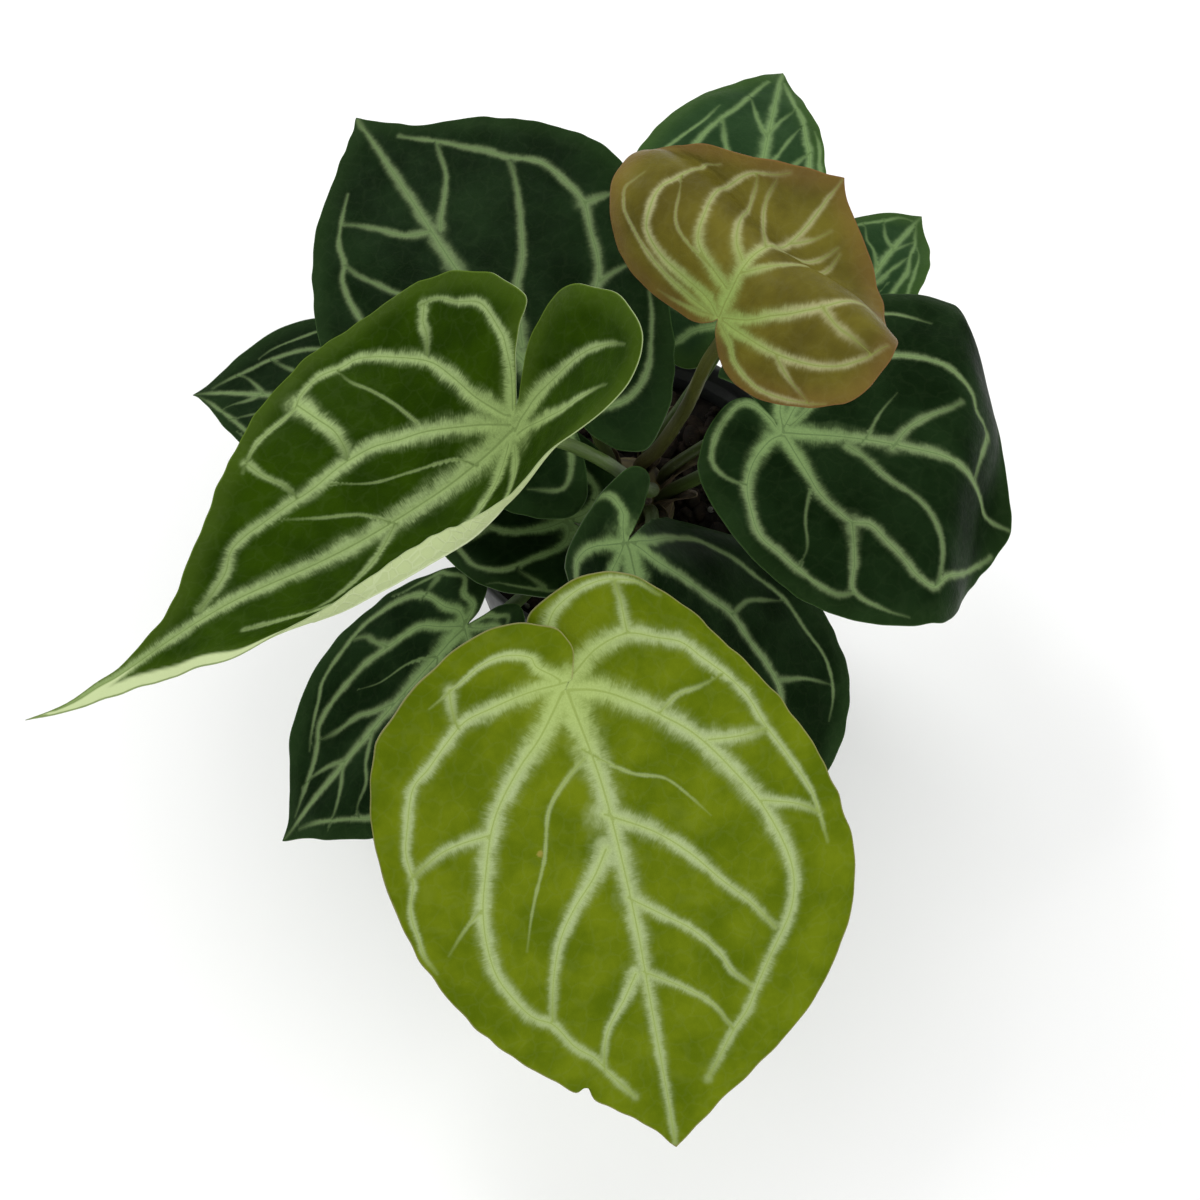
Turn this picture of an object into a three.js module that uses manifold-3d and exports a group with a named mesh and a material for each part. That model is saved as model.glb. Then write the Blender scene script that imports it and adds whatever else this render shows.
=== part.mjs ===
// A potted velvet-leaved anthurium: a plain nursery pot, a coarse potting mix, a short stem (the crown),
// and eleven heart-shaped leaves, each a blade on a stalk of its own.
// Millimetres, +Z up. The origin is the middle of the flat underside of the pot, and the plant
// leans towards -Y, the side it is looked at from.
import * as THREE from "three";
import { mergeVertices } from "three/addons/utils/BufferGeometryUtils.js";
import Module from "manifold-3d";

const wasm = await Module();
wasm.setup();

// Driving dimensions
const potHeight = 108;
const potBaseRadius = 43;
const potTopRadius = 58;
const potWall = 1.8;
const potFloor = 2.6;
const rimHeight = 10;
const rimStep = 3;
const drainHoles = 6;
const drainHoleRadius = 4;
const drainRingRadius = 31;
const mixDepthBelowRim = 14;
const mixBump = 1.6;
const crownRadius = 17;
const crownDepth = 12;
const crownRise = 16;
const outerStalkRing = 12.5;
const innerStalkRing = 4.8;
const outerLean = 20;
const innerLean = 6;
const stalkSink = 7;
const stalkFootRadius = 2.5;
const stalkTopRadius = 1.9;
const stalkKneeRadius = 2.3;
const stalkKneeLength = 12;
const stalkNeck = 3;
const bladeThickness = 0.9;
const gap = 0.3;

// Sizes that follow from them
const mixTop = potHeight - mixDepthBelowRim;
const crownFoot = mixTop - crownDepth;
const crownTop = mixTop + crownRise;

// Materials
const potPlastic = new THREE.MeshStandardMaterial({ color: 0x24272a, roughness: 0.55 });
const barkMix = new THREE.MeshStandardMaterial({ color: 0x3b2a1d, roughness: 0.95 });
const crownSkin = new THREE.MeshStandardMaterial({ color: 0x6a5a38, roughness: 0.85 });
const stalkSkin = new THREE.MeshStandardMaterial({ color: 0x5d6b2a, roughness: 0.55 });
const limeBlade = new THREE.MeshStandardMaterial({ color: 0x8fa81f, roughness: 0.6 });
const freshBlade = new THREE.MeshStandardMaterial({ color: 0x4d7a1e, roughness: 0.6 });
const deepBlade = new THREE.MeshStandardMaterial({ color: 0x1f4a2c, roughness: 0.6 });
const bronzeBlade = new THREE.MeshStandardMaterial({ color: 0x7c6a38, roughness: 0.6 });

// Half of a heart-shaped blade, from the notch round the lobe to the tip:
// along the midrib in blade lengths, and across it in half widths
const heartHalf = [
  [-0.02, 0],
  [-0.085, 0.035],
  [-0.155, 0.12],
  [-0.19, 0.27],
  [-0.15, 0.5],
  [-0.04, 0.745],
  [0.11, 0.92],
  [0.28, 1],
  [0.45, 0.985],
  [0.6, 0.875],
  [0.72, 0.7],
  [0.81, 0.49],
  [0.88, 0.29],
  [0.94, 0.125],
  [1, 0],
];
const heartLobe = 0.19;

// What a half blade has unless a leaf says otherwise. Angles are degrees, lobe is in blade lengths.
// wide scales the half width; belly moves the widest place towards the tip (+) or the lobes (-), and full
// swells its middle;
// fold is the rise of the blade beside the midrib, and curl what its section adds by the margin;
// lobeFold scales both from lobeFrom backwards; lift raises the lobe, and skew and sway lean its inner
// margin and the whole lobe sideways.
const plainHalf = {
  wide: 1,
  belly: 0,
  full: 0,
  lobe: heartLobe,
  fold: 6,
  curl: -12,
  power: 1.5,
  lobeFold: 1,
  lobeFrom: 0.12,
  lift: 0,
  skew: 0,
  sway: 0,
};

// What a leaf has unless it says otherwise: slopes are the midrib's rise at even steps from the stalk
// to the tip, lobeSlope what the lobes' slope adds behind it, drip a drawn-out tip, ripple the height of
// the waves along the margin; rings and sideSteps are how finely a blade is cut, and size thins a stalk.
const plainLeaf = {
  lobeSlope: 0,
  roll: 0,
  twist: 0,
  drip: 0,
  ripple: 1.5,
  rings: 4,
  sideSteps: 20,
  size: 1,
};

// The leaves: at is where the midrib meets the stalk. The stalk stands in the crown at an angle round it
// (foot), on the inner or the outer ring, and goes by the via points.
const leaves = [
  {
    name: "front",
    skin: limeBlade,
    at: [-18, -127, 200],
    length: 148,
    width: 140,
    heading: -72,
    slopes: [-42, -44, -45, -46, -48],
    lobeSlope: -10,
    left: { belly: 0.45, wide: 0.98, lobe: 0.2, skew: -0.65 },
    right: { belly: -0.35, wide: 0.9, lobe: 0.17, skew: -0.36, lift: 1.5 },
    stalk: { foot: -92, ring: "outer", via: [[2, -45, 124], [-14, -85, 148], [-27, -112, 174]] },
  },
  {
    name: "left",
    skin: freshBlade,
    at: [-33, -62, 235],
    length: 163,
    width: 130,
    heading: -150,
    slopes: [-45, -12, 8, -22, 12],
    lobeSlope: -25,
    drip: 0.2,
    rings: 8,
    sideSteps: 24,
    left: {
      belly: 0.1,
      wide: 0.74,
      fold: 32,
      curl: 145,
      power: 2.2,
      lobe: 0.44,
      lobeFold: 0.35,
      lobeFrom: -0.1,
      skew: -0.95,
      sway: 0.08,
    },
    right: { belly: -1, wide: 0.9, full: 0.2, fold: 4, lobe: 0.22, skew: -0.9, sway: -0.1 },
    stalk: { foot: -90, ring: "inner", via: [[8, -18, 135], [5, -34, 160], [-6, -43, 188], [-20, -55, 218]] },
  },
  {
    name: "young",
    skin: bronzeBlade,
    at: [25, -34, 250],
    length: 71,
    width: 96,
    heading: 51,
    slopes: [58, 50, -20, -55, 0, 22, 5],
    roll: -10,
    twist: 30,
    ripple: 1,
    rings: 9,
    sideSteps: 24,
    left: { wide: 1.04, belly: 0.25, lobe: 0.09, fold: 15, curl: -40, power: 3 },
    right: { wide: 1.03, belly: -0.55, lobe: 0.17, fold: 14, curl: -30, power: 1, lobeFold: 1.8 },
    stalk: { foot: 30, ring: "inner", via: [[10, -6, 140], [18, -14, 175], [23, -25, 215]] },
  },
  {
    name: "back_left",
    skin: deepBlade,
    at: [-21, -21, 190],
    length: 140,
    width: 110,
    heading: 120,
    slopes: [2, 0, -4, -6, -8],
    lobeSlope: 10,
    roll: -14,
    left: { fold: 5, curl: -20, lobe: 0.25 },
    right: { fold: 5, curl: -15, lobe: 0.2, wide: 0.93, full: 0.2 },
    stalk: { foot: 150, ring: "inner", via: [[-9, 6, 130], [-15, 2, 158]] },
  },
  {
    name: "far_left",
    skin: deepBlade,
    at: [-78, 20, 120],
    length: 78,
    width: 76,
    heading: 166,
    slopes: [5, 0, -8, -16, -25],
    size: 0.85,
    left: { wide: 0.85, belly: -0.6, curl: -15 },
    right: { curl: -25 },
    stalk: { foot: 166, ring: "outer", via: [[-42, 14, 118]] },
  },
  {
    name: "low_left",
    skin: deepBlade,
    at: [-51, -79, 150],
    length: 90,
    width: 86,
    heading: -138,
    slopes: [-22, -26, -30, -33, -37],
    roll: 15,
    left: { wide: 0.9, curl: -15 },
    right: { wide: 0.8, curl: -15 },
    stalk: { foot: -160, ring: "outer", via: [[-30, -42, 116], [-42, -64, 130]] },
  },
  {
    name: "inner",
    skin: deepBlade,
    at: [-19, -45, 160],
    length: 80,
    width: 80,
    heading: 145,
    slopes: [-5, -8, -12, -16, -20],
    ripple: 1,
    size: 0.85,
    left: { wide: 0.8, belly: -1, lobe: 0.38 },
    right: { wide: 0.75, lobe: 0.14 },
    stalk: { foot: -126, ring: "outer", via: [[-14, -24, 122]] },
  },
  {
    name: "middle",
    skin: deepBlade,
    at: [-1, -66, 180],
    length: 125,
    width: 126,
    heading: -70,
    slopes: [-35, -40, -46, -52, -58],
    roll: -22,
    twist: 36,
    left: { wide: 1.13, belly: 0.5, fold: -22, curl: -5, lobeFold: 2.2, lobeFrom: 0.18, lobe: 0.02 },
    right: { wide: 0.6, fold: 20, curl: 60, lobeFold: 0.5, lobe: 0.17, lift: 1, skew: 0.5, sway: 0.9 },
    stalk: { foot: -58, ring: "outer", via: [[8, -34, 138], [4, -56, 156]] },
  },
  {
    name: "right",
    skin: deepBlade,
    at: [47, -33, 190],
    length: 92,
    width: 118,
    heading: -12,
    slopes: [0, 0, 0, -5, -60, -75, -5],
    drip: -0.06,
    rings: 7,
    left: { wide: 1.15, belly: 0.35, fold: 3, curl: -20, lobe: 0.24, skew: 1 },
    right: { wide: 0.98, belly: 0.12, fold: 3, curl: -20, lobe: 0.24, skew: 1.3, lift: 2.5 },
    stalk: { foot: -24, ring: "outer", via: [[24, -15, 138], [38, -26, 168]] },
  },
  {
    name: "back",
    skin: deepBlade,
    at: [35, 25, 175],
    length: 128,
    width: 90,
    heading: 80,
    slopes: [5, -2, -10, -18, -25],
    left: { curl: -15 },
    right: { wide: 0.5, curl: -15 },
    stalk: { foot: 55, ring: "outer", via: [[20, 24, 124]] },
  },
  {
    name: "back_right",
    skin: deepBlade,
    at: [67, 24, 160],
    length: 74,
    width: 56,
    heading: 60,
    slopes: [5, -2, -10, -18, -25],
    size: 0.85,
    left: { curl: -15 },
    right: { wide: 0.6, curl: -15 },
    stalk: { foot: 15, ring: "outer", via: [[38, 18, 120]] },
  },
];

const radians = THREE.MathUtils.degToRad;
const { clamp, lerp, smoothstep } = THREE.MathUtils;

// Closed meshes to solids and back, for the pieces that are cut
function solidOf(geometry) {
  const bare = geometry.clone();
  bare.deleteAttribute("normal");
  bare.deleteAttribute("uv");
  const merged = mergeVertices(bare, 1e-4);
  return new wasm.Manifold(
    new wasm.Mesh({
      numProp: 3,
      vertProperties: merged.attributes.position.array,
      triVerts: new Uint32Array(merged.index.array),
    }),
  );
}

function geometryOf(solid) {
  const mesh = solid.getMesh();
  const geometry = new THREE.BufferGeometry();
  geometry.setAttribute("position", new THREE.BufferAttribute(mesh.vertProperties, 3));
  geometry.setIndex(new THREE.BufferAttribute(mesh.triVerts, 1));
  geometry.computeVertexNormals();
  return geometry;
}

function namedMesh(name, geometry, material) {
  const mesh = new THREE.Mesh(geometry, material);
  mesh.name = name;
  return mesh;
}

// A turned solid from [radius, height] pairs that start and end on the axis, bottom first
function turned(profile, segments) {
  const points = profile.map(([r, z]) => new THREE.Vector2(r, z));
  return new THREE.LatheGeometry(points, segments).rotateX(Math.PI / 2);
}

function potRadiusAt(z) {
  return lerp(potBaseRadius, potTopRadius, z / (potHeight - rimHeight));
}

// The pot: a tapered thin-walled cup with a stepped rim, rounded foot and drain holes
function buildPot() {
  const footRound = 3;
  const rimFoot = potHeight - rimHeight;
  const rimRadius = potTopRadius + rimStep;
  const outside = [
    [0, 0],
    [potBaseRadius - footRound, 0],
    [potBaseRadius - 0.9, 0.9],
    [potRadiusAt(footRound), footRound],
    [potTopRadius, rimFoot],
    [rimRadius - 0.6, rimFoot + 0.6],
    [rimRadius, rimFoot + 1.8],
    [rimRadius + 0.6, potHeight - 1.2],
    [rimRadius, potHeight],
  ];
  const inside = [
    [rimRadius - potWall, potHeight - 0.4],
    [rimRadius - potWall - 0.6, rimFoot + 3],
    [potTopRadius - potWall, rimFoot],
    [potRadiusAt(potFloor) - potWall, potFloor],
    [0, potFloor],
  ];
  let pot = solidOf(turned([...outside, ...inside], 48));
  for (let i = 0; i < drainHoles; i++) {
    const angle = (i / drainHoles) * 2 * Math.PI;
    const hole = new THREE.CylinderGeometry(drainHoleRadius, drainHoleRadius, 4 * potFloor, 12);
    hole.rotateX(Math.PI / 2);
    hole.translate(drainRingRadius * Math.cos(angle), drainRingRadius * Math.sin(angle), potFloor / 2);
    pot = pot.subtract(solidOf(hole));
  }
  return namedMesh("pot", geometryOf(pot), potPlastic);
}

// The potting mix: a plug that fills the pot, lumpy on top, with a plain hole for the crown
function buildMix() {
  const rings = 7;
  const segments = 40;
  const lastRadius = potRadiusAt(mixTop) - potWall - gap;
  const profile = [
    [0, potFloor + gap],
    [potRadiusAt(potFloor) - potWall - 2 * gap, potFloor + gap],
  ];
  for (let i = rings; i >= 0; i--) profile.push([(lastRadius * i) / rings, mixTop]);
  const geometry = turned(profile, segments);
  const place = geometry.attributes.position;
  for (let i = 0; i < place.count; i++) {
    const [x, y, z] = [place.getX(i), place.getY(i), place.getZ(i)];
    if (z < mixTop - 1) continue;
    const lumps = Math.sin(x * 0.31 + 1.3) * Math.sin(y * 0.27 - 0.4) + 0.5 * Math.sin(x * 0.63 - y * 0.52);
    const edge = 1 - smoothstep(Math.hypot(x, y), lastRadius - 6, lastRadius);
    place.setZ(i, z + mixBump * lumps * edge);
  }
  const hole = turned(crownProfile(gap), 32);
  return namedMesh("potting_mix", geometryOf(solidOf(geometry).subtract(solidOf(hole))), barkMix);
}

function crownProfile(grown) {
  const height = crownTop - crownFoot;
  return [
    [0, crownFoot - grown],
    [crownRadius * 0.8 + grown, crownFoot - grown],
    [crownRadius * 0.97 + grown, crownFoot + height * 0.3],
    [crownRadius + grown, crownFoot + height * 0.55],
    [crownRadius * 0.93 + grown, crownFoot + height * 0.78],
    [crownRadius * 0.66 + grown, crownFoot + height * 0.94],
    [0, crownTop + grown],
  ];
}

// Where a stalk leaves the crown, and which way it goes there
function stalkFoot(leaf) {
  const { foot, ring } = leaf.stalk;
  const outer = ring === "outer";
  const radius = outer ? outerStalkRing : innerStalkRing;
  const lean = radians(outer ? outerLean : innerLean);
  const angle = radians(foot);
  const height = outer ? crownTop - 4 : crownTop - 1;
  return {
    place: new THREE.Vector3(radius * Math.cos(angle), radius * Math.sin(angle), height),
    way: new THREE.Vector3(Math.cos(angle), Math.sin(angle), 0)
      .multiplyScalar(Math.sin(lean))
      .setZ(Math.cos(lean)),
  };
}

// The outline of a blade, flat: [along, across, side] from the notch round the left lobe, the tip and
// the right lobe back to the notch
function bladeOutline(leaf) {
  const curve = new THREE.CatmullRomCurve3(
    heartHalf.map(([u, v]) => new THREE.Vector3(u, v, 0)),
    false,
    "catmullrom",
    0.5,
  );
  const steps = leaf.sideSteps;
  const halves = ["left", "right"].map((name) => {
    const half = leaf[name];
    const side = name === "left" ? 1 : -1;
    return Array.from({ length: steps + 1 }, (_, i) => {
      let { x: u, y: v } = curve.getPoint(i / steps);
      const inner = clamp(1 - v / 0.35, 0, 1) ** 2;
      const share = clamp(u, 0, 1);
      v *= half.wide * (1 + half.belly * (share - 0.3)) * (1 + half.full * Math.sin(Math.PI * share) ** 2);
      if (u < 0) u *= half.lobe / heartLobe;
      const drawn = clamp((u - 0.8) / 0.2, 0, 1);
      u = u * (1 - leaf.drip) + leaf.drip * drawn ** 3;
      const back = Math.max(-u * leaf.length, 0);
      return [
        u * leaf.length,
        (side * v * leaf.width) / 2 + (half.skew * inner + half.sway) * back,
        side,
      ];
    });
  });
  return [...halves[0], ...halves[1].reverse().slice(1, -1)];
}

// The midrib as a curve in space: place, slope and heading at even steps, found once for each leaf
function midrib(leaf) {
  const lobe = Math.max(leaf.left.lobe, leaf.right.lobe) * leaf.length + 1;
  const steps = 240;
  const step = (leaf.length + lobe) / steps;
  const heading = radians(leaf.heading);
  const ahead = new THREE.Vector3(Math.cos(heading), Math.sin(heading), 0);
  const slopeAt = (along) => {
    const share = along / leaf.length;
    if (share < 0) return radians(leaf.slopes[0] + leaf.lobeSlope * clamp(-along / lobe, 0, 1));
    const place = clamp(share, 0, 1) * (leaf.slopes.length - 1);
    const i = Math.min(Math.floor(place), leaf.slopes.length - 2);
    const part = place - i;
    const eased = 0.5 * part + 0.5 * part * part * (3 - 2 * part);
    return radians(lerp(leaf.slopes[i], leaf.slopes[i + 1], eased));
  };
  const stations = [{ out: 0, up: 0 }];
  for (let i = 1; i <= steps; i++) {
    const middle = slopeAt(-lobe + (i - 0.5) * step);
    const last = stations[i - 1];
    stations.push({ out: last.out + Math.cos(middle) * step, up: last.up + Math.sin(middle) * step });
  }
  const at = (along) => {
    const place = clamp((along + lobe) / step, 0, steps - 1e-6);
    const i = Math.floor(place);
    const part = place - i;
    return {
      out: lerp(stations[i].out, stations[i + 1].out, part),
      up: lerp(stations[i].up, stations[i + 1].up, part),
    };
  };
  const start = at(0);
  return (along) => {
    const { out, up } = at(along);
    return { ahead, out: out - start.out, up: up - start.up, slope: slopeAt(along) };
  };
}

// The surface of a blade: a flat place (along, across, side) bent to its place in space
function bladeSurface(leaf) {
  const rib = midrib(leaf);
  const halfWidth = leaf.width / 2;
  const base = new THREE.Vector3(...leaf.at);
  const sectionSteps = 20;
  return (along, across, side) => {
    const half = side > 0 ? leaf.left : leaf.right;
    const share = along / leaf.length;
    const behind = smoothstep(half.lobeFrom - share, 0, 0.25);
    const bend = lerp(1, half.lobeFold, behind);
    const distance = across * side;
    let y = 0;
    let z = 0;
    for (let i = 0; i < sectionSteps; i++) {
      const w = (Math.max(distance, 0) * (i + 0.5)) / sectionSteps / halfWidth;
      const angle = radians(bend * (half.fold * (1 - Math.exp(-w / 0.12)) + half.curl * w ** half.power));
      y += (Math.cos(angle) * distance) / sectionSteps;
      z += (Math.sin(angle) * distance) / sectionSteps;
    }
    z += half.lift * smoothstep(-along, 0, 0.15 * leaf.length);
    const reach = clamp(Math.hypot(share, across / halfWidth), 0, 1.2);
    const turn = Math.atan2(across / halfWidth, share + 0.05);
    z += leaf.ripple * Math.sin(5 * turn) * reach ** 2.5;
    const { ahead, out, up, slope } = rib(along);
    const beside = new THREE.Vector3(-ahead.y, ahead.x, 0);
    const above = new THREE.Vector3(-ahead.x * Math.sin(slope), -ahead.y * Math.sin(slope), Math.cos(slope));
    const roll = radians(leaf.roll + leaf.twist * clamp(share, -0.3, 1));
    const leftWay = beside.clone().multiplyScalar(Math.cos(roll)).addScaledVector(above, Math.sin(roll));
    const upWay = above.multiplyScalar(Math.cos(roll)).addScaledVector(beside, -Math.sin(roll));
    return base
      .clone()
      .addScaledVector(ahead, out)
      .add(new THREE.Vector3(0, 0, up))
      .addScaledVector(leftWay, y * side)
      .addScaledVector(upWay, z);
  };
}

function surfaceNormal(surface, along, across, side) {
  const small = 0.4;
  const ahead = surface(along + small, across, side).sub(surface(along - small, across, side));
  const left = surface(along, across + small, side).sub(surface(along, across - small, side));
  return ahead.cross(left).normalize();
}

// A blade: rays from the stalk to the outline, cut by rings, the same on the upper and the lower face
function buildBlade(leaf) {
  const surface = bladeSurface(leaf);
  const outline = bladeOutline(leaf);
  const around = outline.length;
  const rings = leaf.rings;
  const positions = [];
  for (const face of [0.5, -0.5]) {
    for (let ring = 0; ring <= rings; ring++) {
      for (const [u, v, side] of ring ? outline : [[0, 0, 1]]) {
        const [along, across] = [(u * ring) / rings, (v * ring) / rings];
        const point = surface(along, across, side);
        point.addScaledVector(surfaceNormal(surface, along, across, side), face * bladeThickness);
        positions.push(point.x, point.y, point.z);
      }
    }
  }
  const perFace = 1 + rings * around;
  const corner = (face, ring, i) => face * perFace + (ring ? 1 + (ring - 1) * around + (i % around) : 0);
  const index = [];
  const quad = (a, b, c, d) => index.push(a, b, c, a, c, d);
  for (let i = 0; i < around; i++) {
    index.push(corner(0, 0, i), corner(0, 1, i + 1), corner(0, 1, i));
    index.push(corner(1, 0, i), corner(1, 1, i), corner(1, 1, i + 1));
    for (let ring = 1; ring < rings; ring++) {
      quad(corner(0, ring, i), corner(0, ring, i + 1), corner(0, ring + 1, i + 1), corner(0, ring + 1, i));
      index.push(corner(1, ring, i), corner(1, ring + 1, i + 1), corner(1, ring, i + 1));
      index.push(corner(1, ring, i), corner(1, ring + 1, i), corner(1, ring + 1, i + 1));
    }
    quad(corner(0, rings, i), corner(0, rings, i + 1), corner(1, rings, i + 1), corner(1, rings, i));
  }
  const geometry = new THREE.BufferGeometry();
  geometry.setAttribute("position", new THREE.Float32BufferAttribute(positions, 3));
  geometry.setIndex(index);
  geometry.computeVertexNormals();
  return namedMesh(`blade_${leaf.name}`, geometry, leaf.skin);
}

// The line of a stalk: out of its hole in the crown, by its via points, and square on to the blade
function stalkLine(leaf) {
  const { place, way } = stalkFoot(leaf);
  const surface = bladeSurface(leaf);
  const joint = 1.5;
  const normal = surfaceNormal(surface, joint, 0, 1);
  const top = surface(joint, 0, 1).addScaledVector(normal, -(bladeThickness / 2 + gap));
  return new THREE.CatmullRomCurve3(
    [
      place.clone().addScaledVector(way, -stalkSink),
      place,
      place.clone().addScaledVector(way, 8),
      ...leaf.stalk.via.map((point) => new THREE.Vector3(...point)),
      top.clone().addScaledVector(normal, -7),
      top,
    ],
    false,
    "centripetal",
  );
}

// A round bar along a curve, with its own radius at each step
function taperedBar(curve, radiusAt, sides, steps) {
  const frames = curve.computeFrenetFrames(steps, false);
  const length = curve.getLength();
  const positions = [];
  const ringStart = (ring) => ring * sides;
  for (let ring = 0; ring <= steps; ring++) {
    const centre = curve.getPointAt(ring / steps);
    const radius = radiusAt((ring / steps) * length, length);
    for (let i = 0; i < sides; i++) {
      const angle = (i / sides) * 2 * Math.PI;
      const point = centre
        .clone()
        .addScaledVector(frames.normals[ring], radius * Math.cos(angle))
        .addScaledVector(frames.binormals[ring], radius * Math.sin(angle));
      positions.push(point.x, point.y, point.z);
    }
  }
  const index = [];
  for (let i = 0; i < sides; i++) {
    const next = (i + 1) % sides;
    for (let ring = 0; ring < steps; ring++) {
      const [near, far] = [ringStart(ring), ringStart(ring + 1)];
      index.push(near + i, near + next, far + next, near + i, far + next, far + i);
    }
  }
  for (let i = 1; i < sides - 1; i++) {
    index.push(0, i + 1, i);
    index.push(ringStart(steps), ringStart(steps) + i, ringStart(steps) + i + 1);
  }
  const geometry = new THREE.BufferGeometry();
  geometry.setAttribute("position", new THREE.Float32BufferAttribute(positions, 3));
  geometry.setIndex(index);
  geometry.computeVertexNormals();
  return geometry;
}

// A stalk is thickest at the foot, thins upwards, swells again in a short knee under the blade
// and necks in where it meets the blade
function stalkRadius(leaf) {
  return (along, length) => {
    const knee = smoothstep(along, length - 1.6 * stalkKneeLength, length - 0.5 * stalkKneeLength);
    const neck = 1 - 0.4 * smoothstep(along, length - stalkNeck, length);
    const plain = lerp(stalkFootRadius, stalkTopRadius, along / length);
    return leaf.size * neck * lerp(plain, stalkKneeRadius, knee);
  };
}

function buildStalk(leaf) {
  const bar = taperedBar(stalkLine(leaf), stalkRadius(leaf), 8, 18);
  return namedMesh(`stalk_${leaf.name}`, bar, stalkSkin);
}

// The crown: a squat stem, with a plain hole for the foot of each stalk
function buildCrown(grownLeaves) {
  let crown = solidOf(turned(crownProfile(0), 32));
  for (const leaf of grownLeaves) {
    const { place, way } = stalkFoot(leaf);
    const depth = stalkSink + gap;
    const radius = leaf.size * stalkFootRadius + gap;
    const hole = new THREE.CylinderGeometry(radius, radius, 2 * depth, 12);
    hole.applyQuaternion(new THREE.Quaternion().setFromUnitVectors(new THREE.Vector3(0, 1, 0), way));
    hole.translate(place.x, place.y, place.z);
    crown = crown.subtract(solidOf(hole));
  }
  return namedMesh("crown", geometryOf(crown), crownSkin);
}

const grownLeaves = leaves.map((leaf) => ({
  ...plainLeaf,
  ...leaf,
  left: { ...plainHalf, ...leaf.left },
  right: { ...plainHalf, ...leaf.right },
}));

const plant = new THREE.Group();
plant.add(buildCrown(grownLeaves));
for (const leaf of grownLeaves) plant.add(buildBlade(leaf), buildStalk(leaf));

const pottedPlant = new THREE.Group();
pottedPlant.add(buildPot(), buildMix(), plant);

export default pottedPlant;
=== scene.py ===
# %% [markdown]
# # A potted anthurium with velvet leaves
# The plant is a handful of heart-shaped leaves on slender stalks, in a plain nursery pot. The
# imported CAD model gives the places and the sizes of all its pieces. This script dresses them: each
# blade gets a fine mesh with veins, and the pot, the potting mix and the stalks get the detail
# that the eye expects. We start with the tools and with the CAD frame.

# %% Load the frame
import math
import bmesh
import bpy
import numpy as np
from mathutils import Euler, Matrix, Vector
from mathutils.geometry import delaunay_2d_cdt


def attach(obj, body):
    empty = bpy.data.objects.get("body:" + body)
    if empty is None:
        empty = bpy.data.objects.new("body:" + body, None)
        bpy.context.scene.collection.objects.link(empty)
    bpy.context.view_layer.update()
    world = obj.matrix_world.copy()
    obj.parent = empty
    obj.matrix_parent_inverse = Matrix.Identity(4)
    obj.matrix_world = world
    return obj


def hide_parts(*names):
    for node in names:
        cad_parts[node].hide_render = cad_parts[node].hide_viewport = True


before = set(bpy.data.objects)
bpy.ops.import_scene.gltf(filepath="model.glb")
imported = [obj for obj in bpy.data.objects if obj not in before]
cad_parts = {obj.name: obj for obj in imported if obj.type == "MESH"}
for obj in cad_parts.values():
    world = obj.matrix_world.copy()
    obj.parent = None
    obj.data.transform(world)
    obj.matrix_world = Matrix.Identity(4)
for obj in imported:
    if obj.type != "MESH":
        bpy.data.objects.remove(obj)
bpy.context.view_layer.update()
MM = 0.001
print("CAD nodes:", len(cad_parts))

# %% [markdown]
# ## The leaves, as numbers
# Every leaf of this plant is the same heart, stretched and bent. One table holds what differs:
# where the stalk meets the blade, the size, the heading, the slopes of the midrib from stalk to
# tip, and how each half folds and curls. They are the same values as in the CAD source, in
# millimetres and degrees, so the fine blades lie exactly where the CAD blades lie. A table is
# easier to tune than eleven sculpted meshes.

# %% The table of leaves
PLAIN_HALF = dict(wide=1, belly=0, full=0, lobe=0.19, fold=6, curl=-12, power=1.5, lobe_fold=1,
                  lift=0, lobe_from=0.12, skew=0, sway=0)
PLAIN_LEAF = dict(lobe_slope=0, roll=0, twist=0, drip=0, ripple=1.5, size=1,
                  ring="outer", finish="deep", veins="LR", grain=1.0, paint=1, scar=(0, 999))
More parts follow.
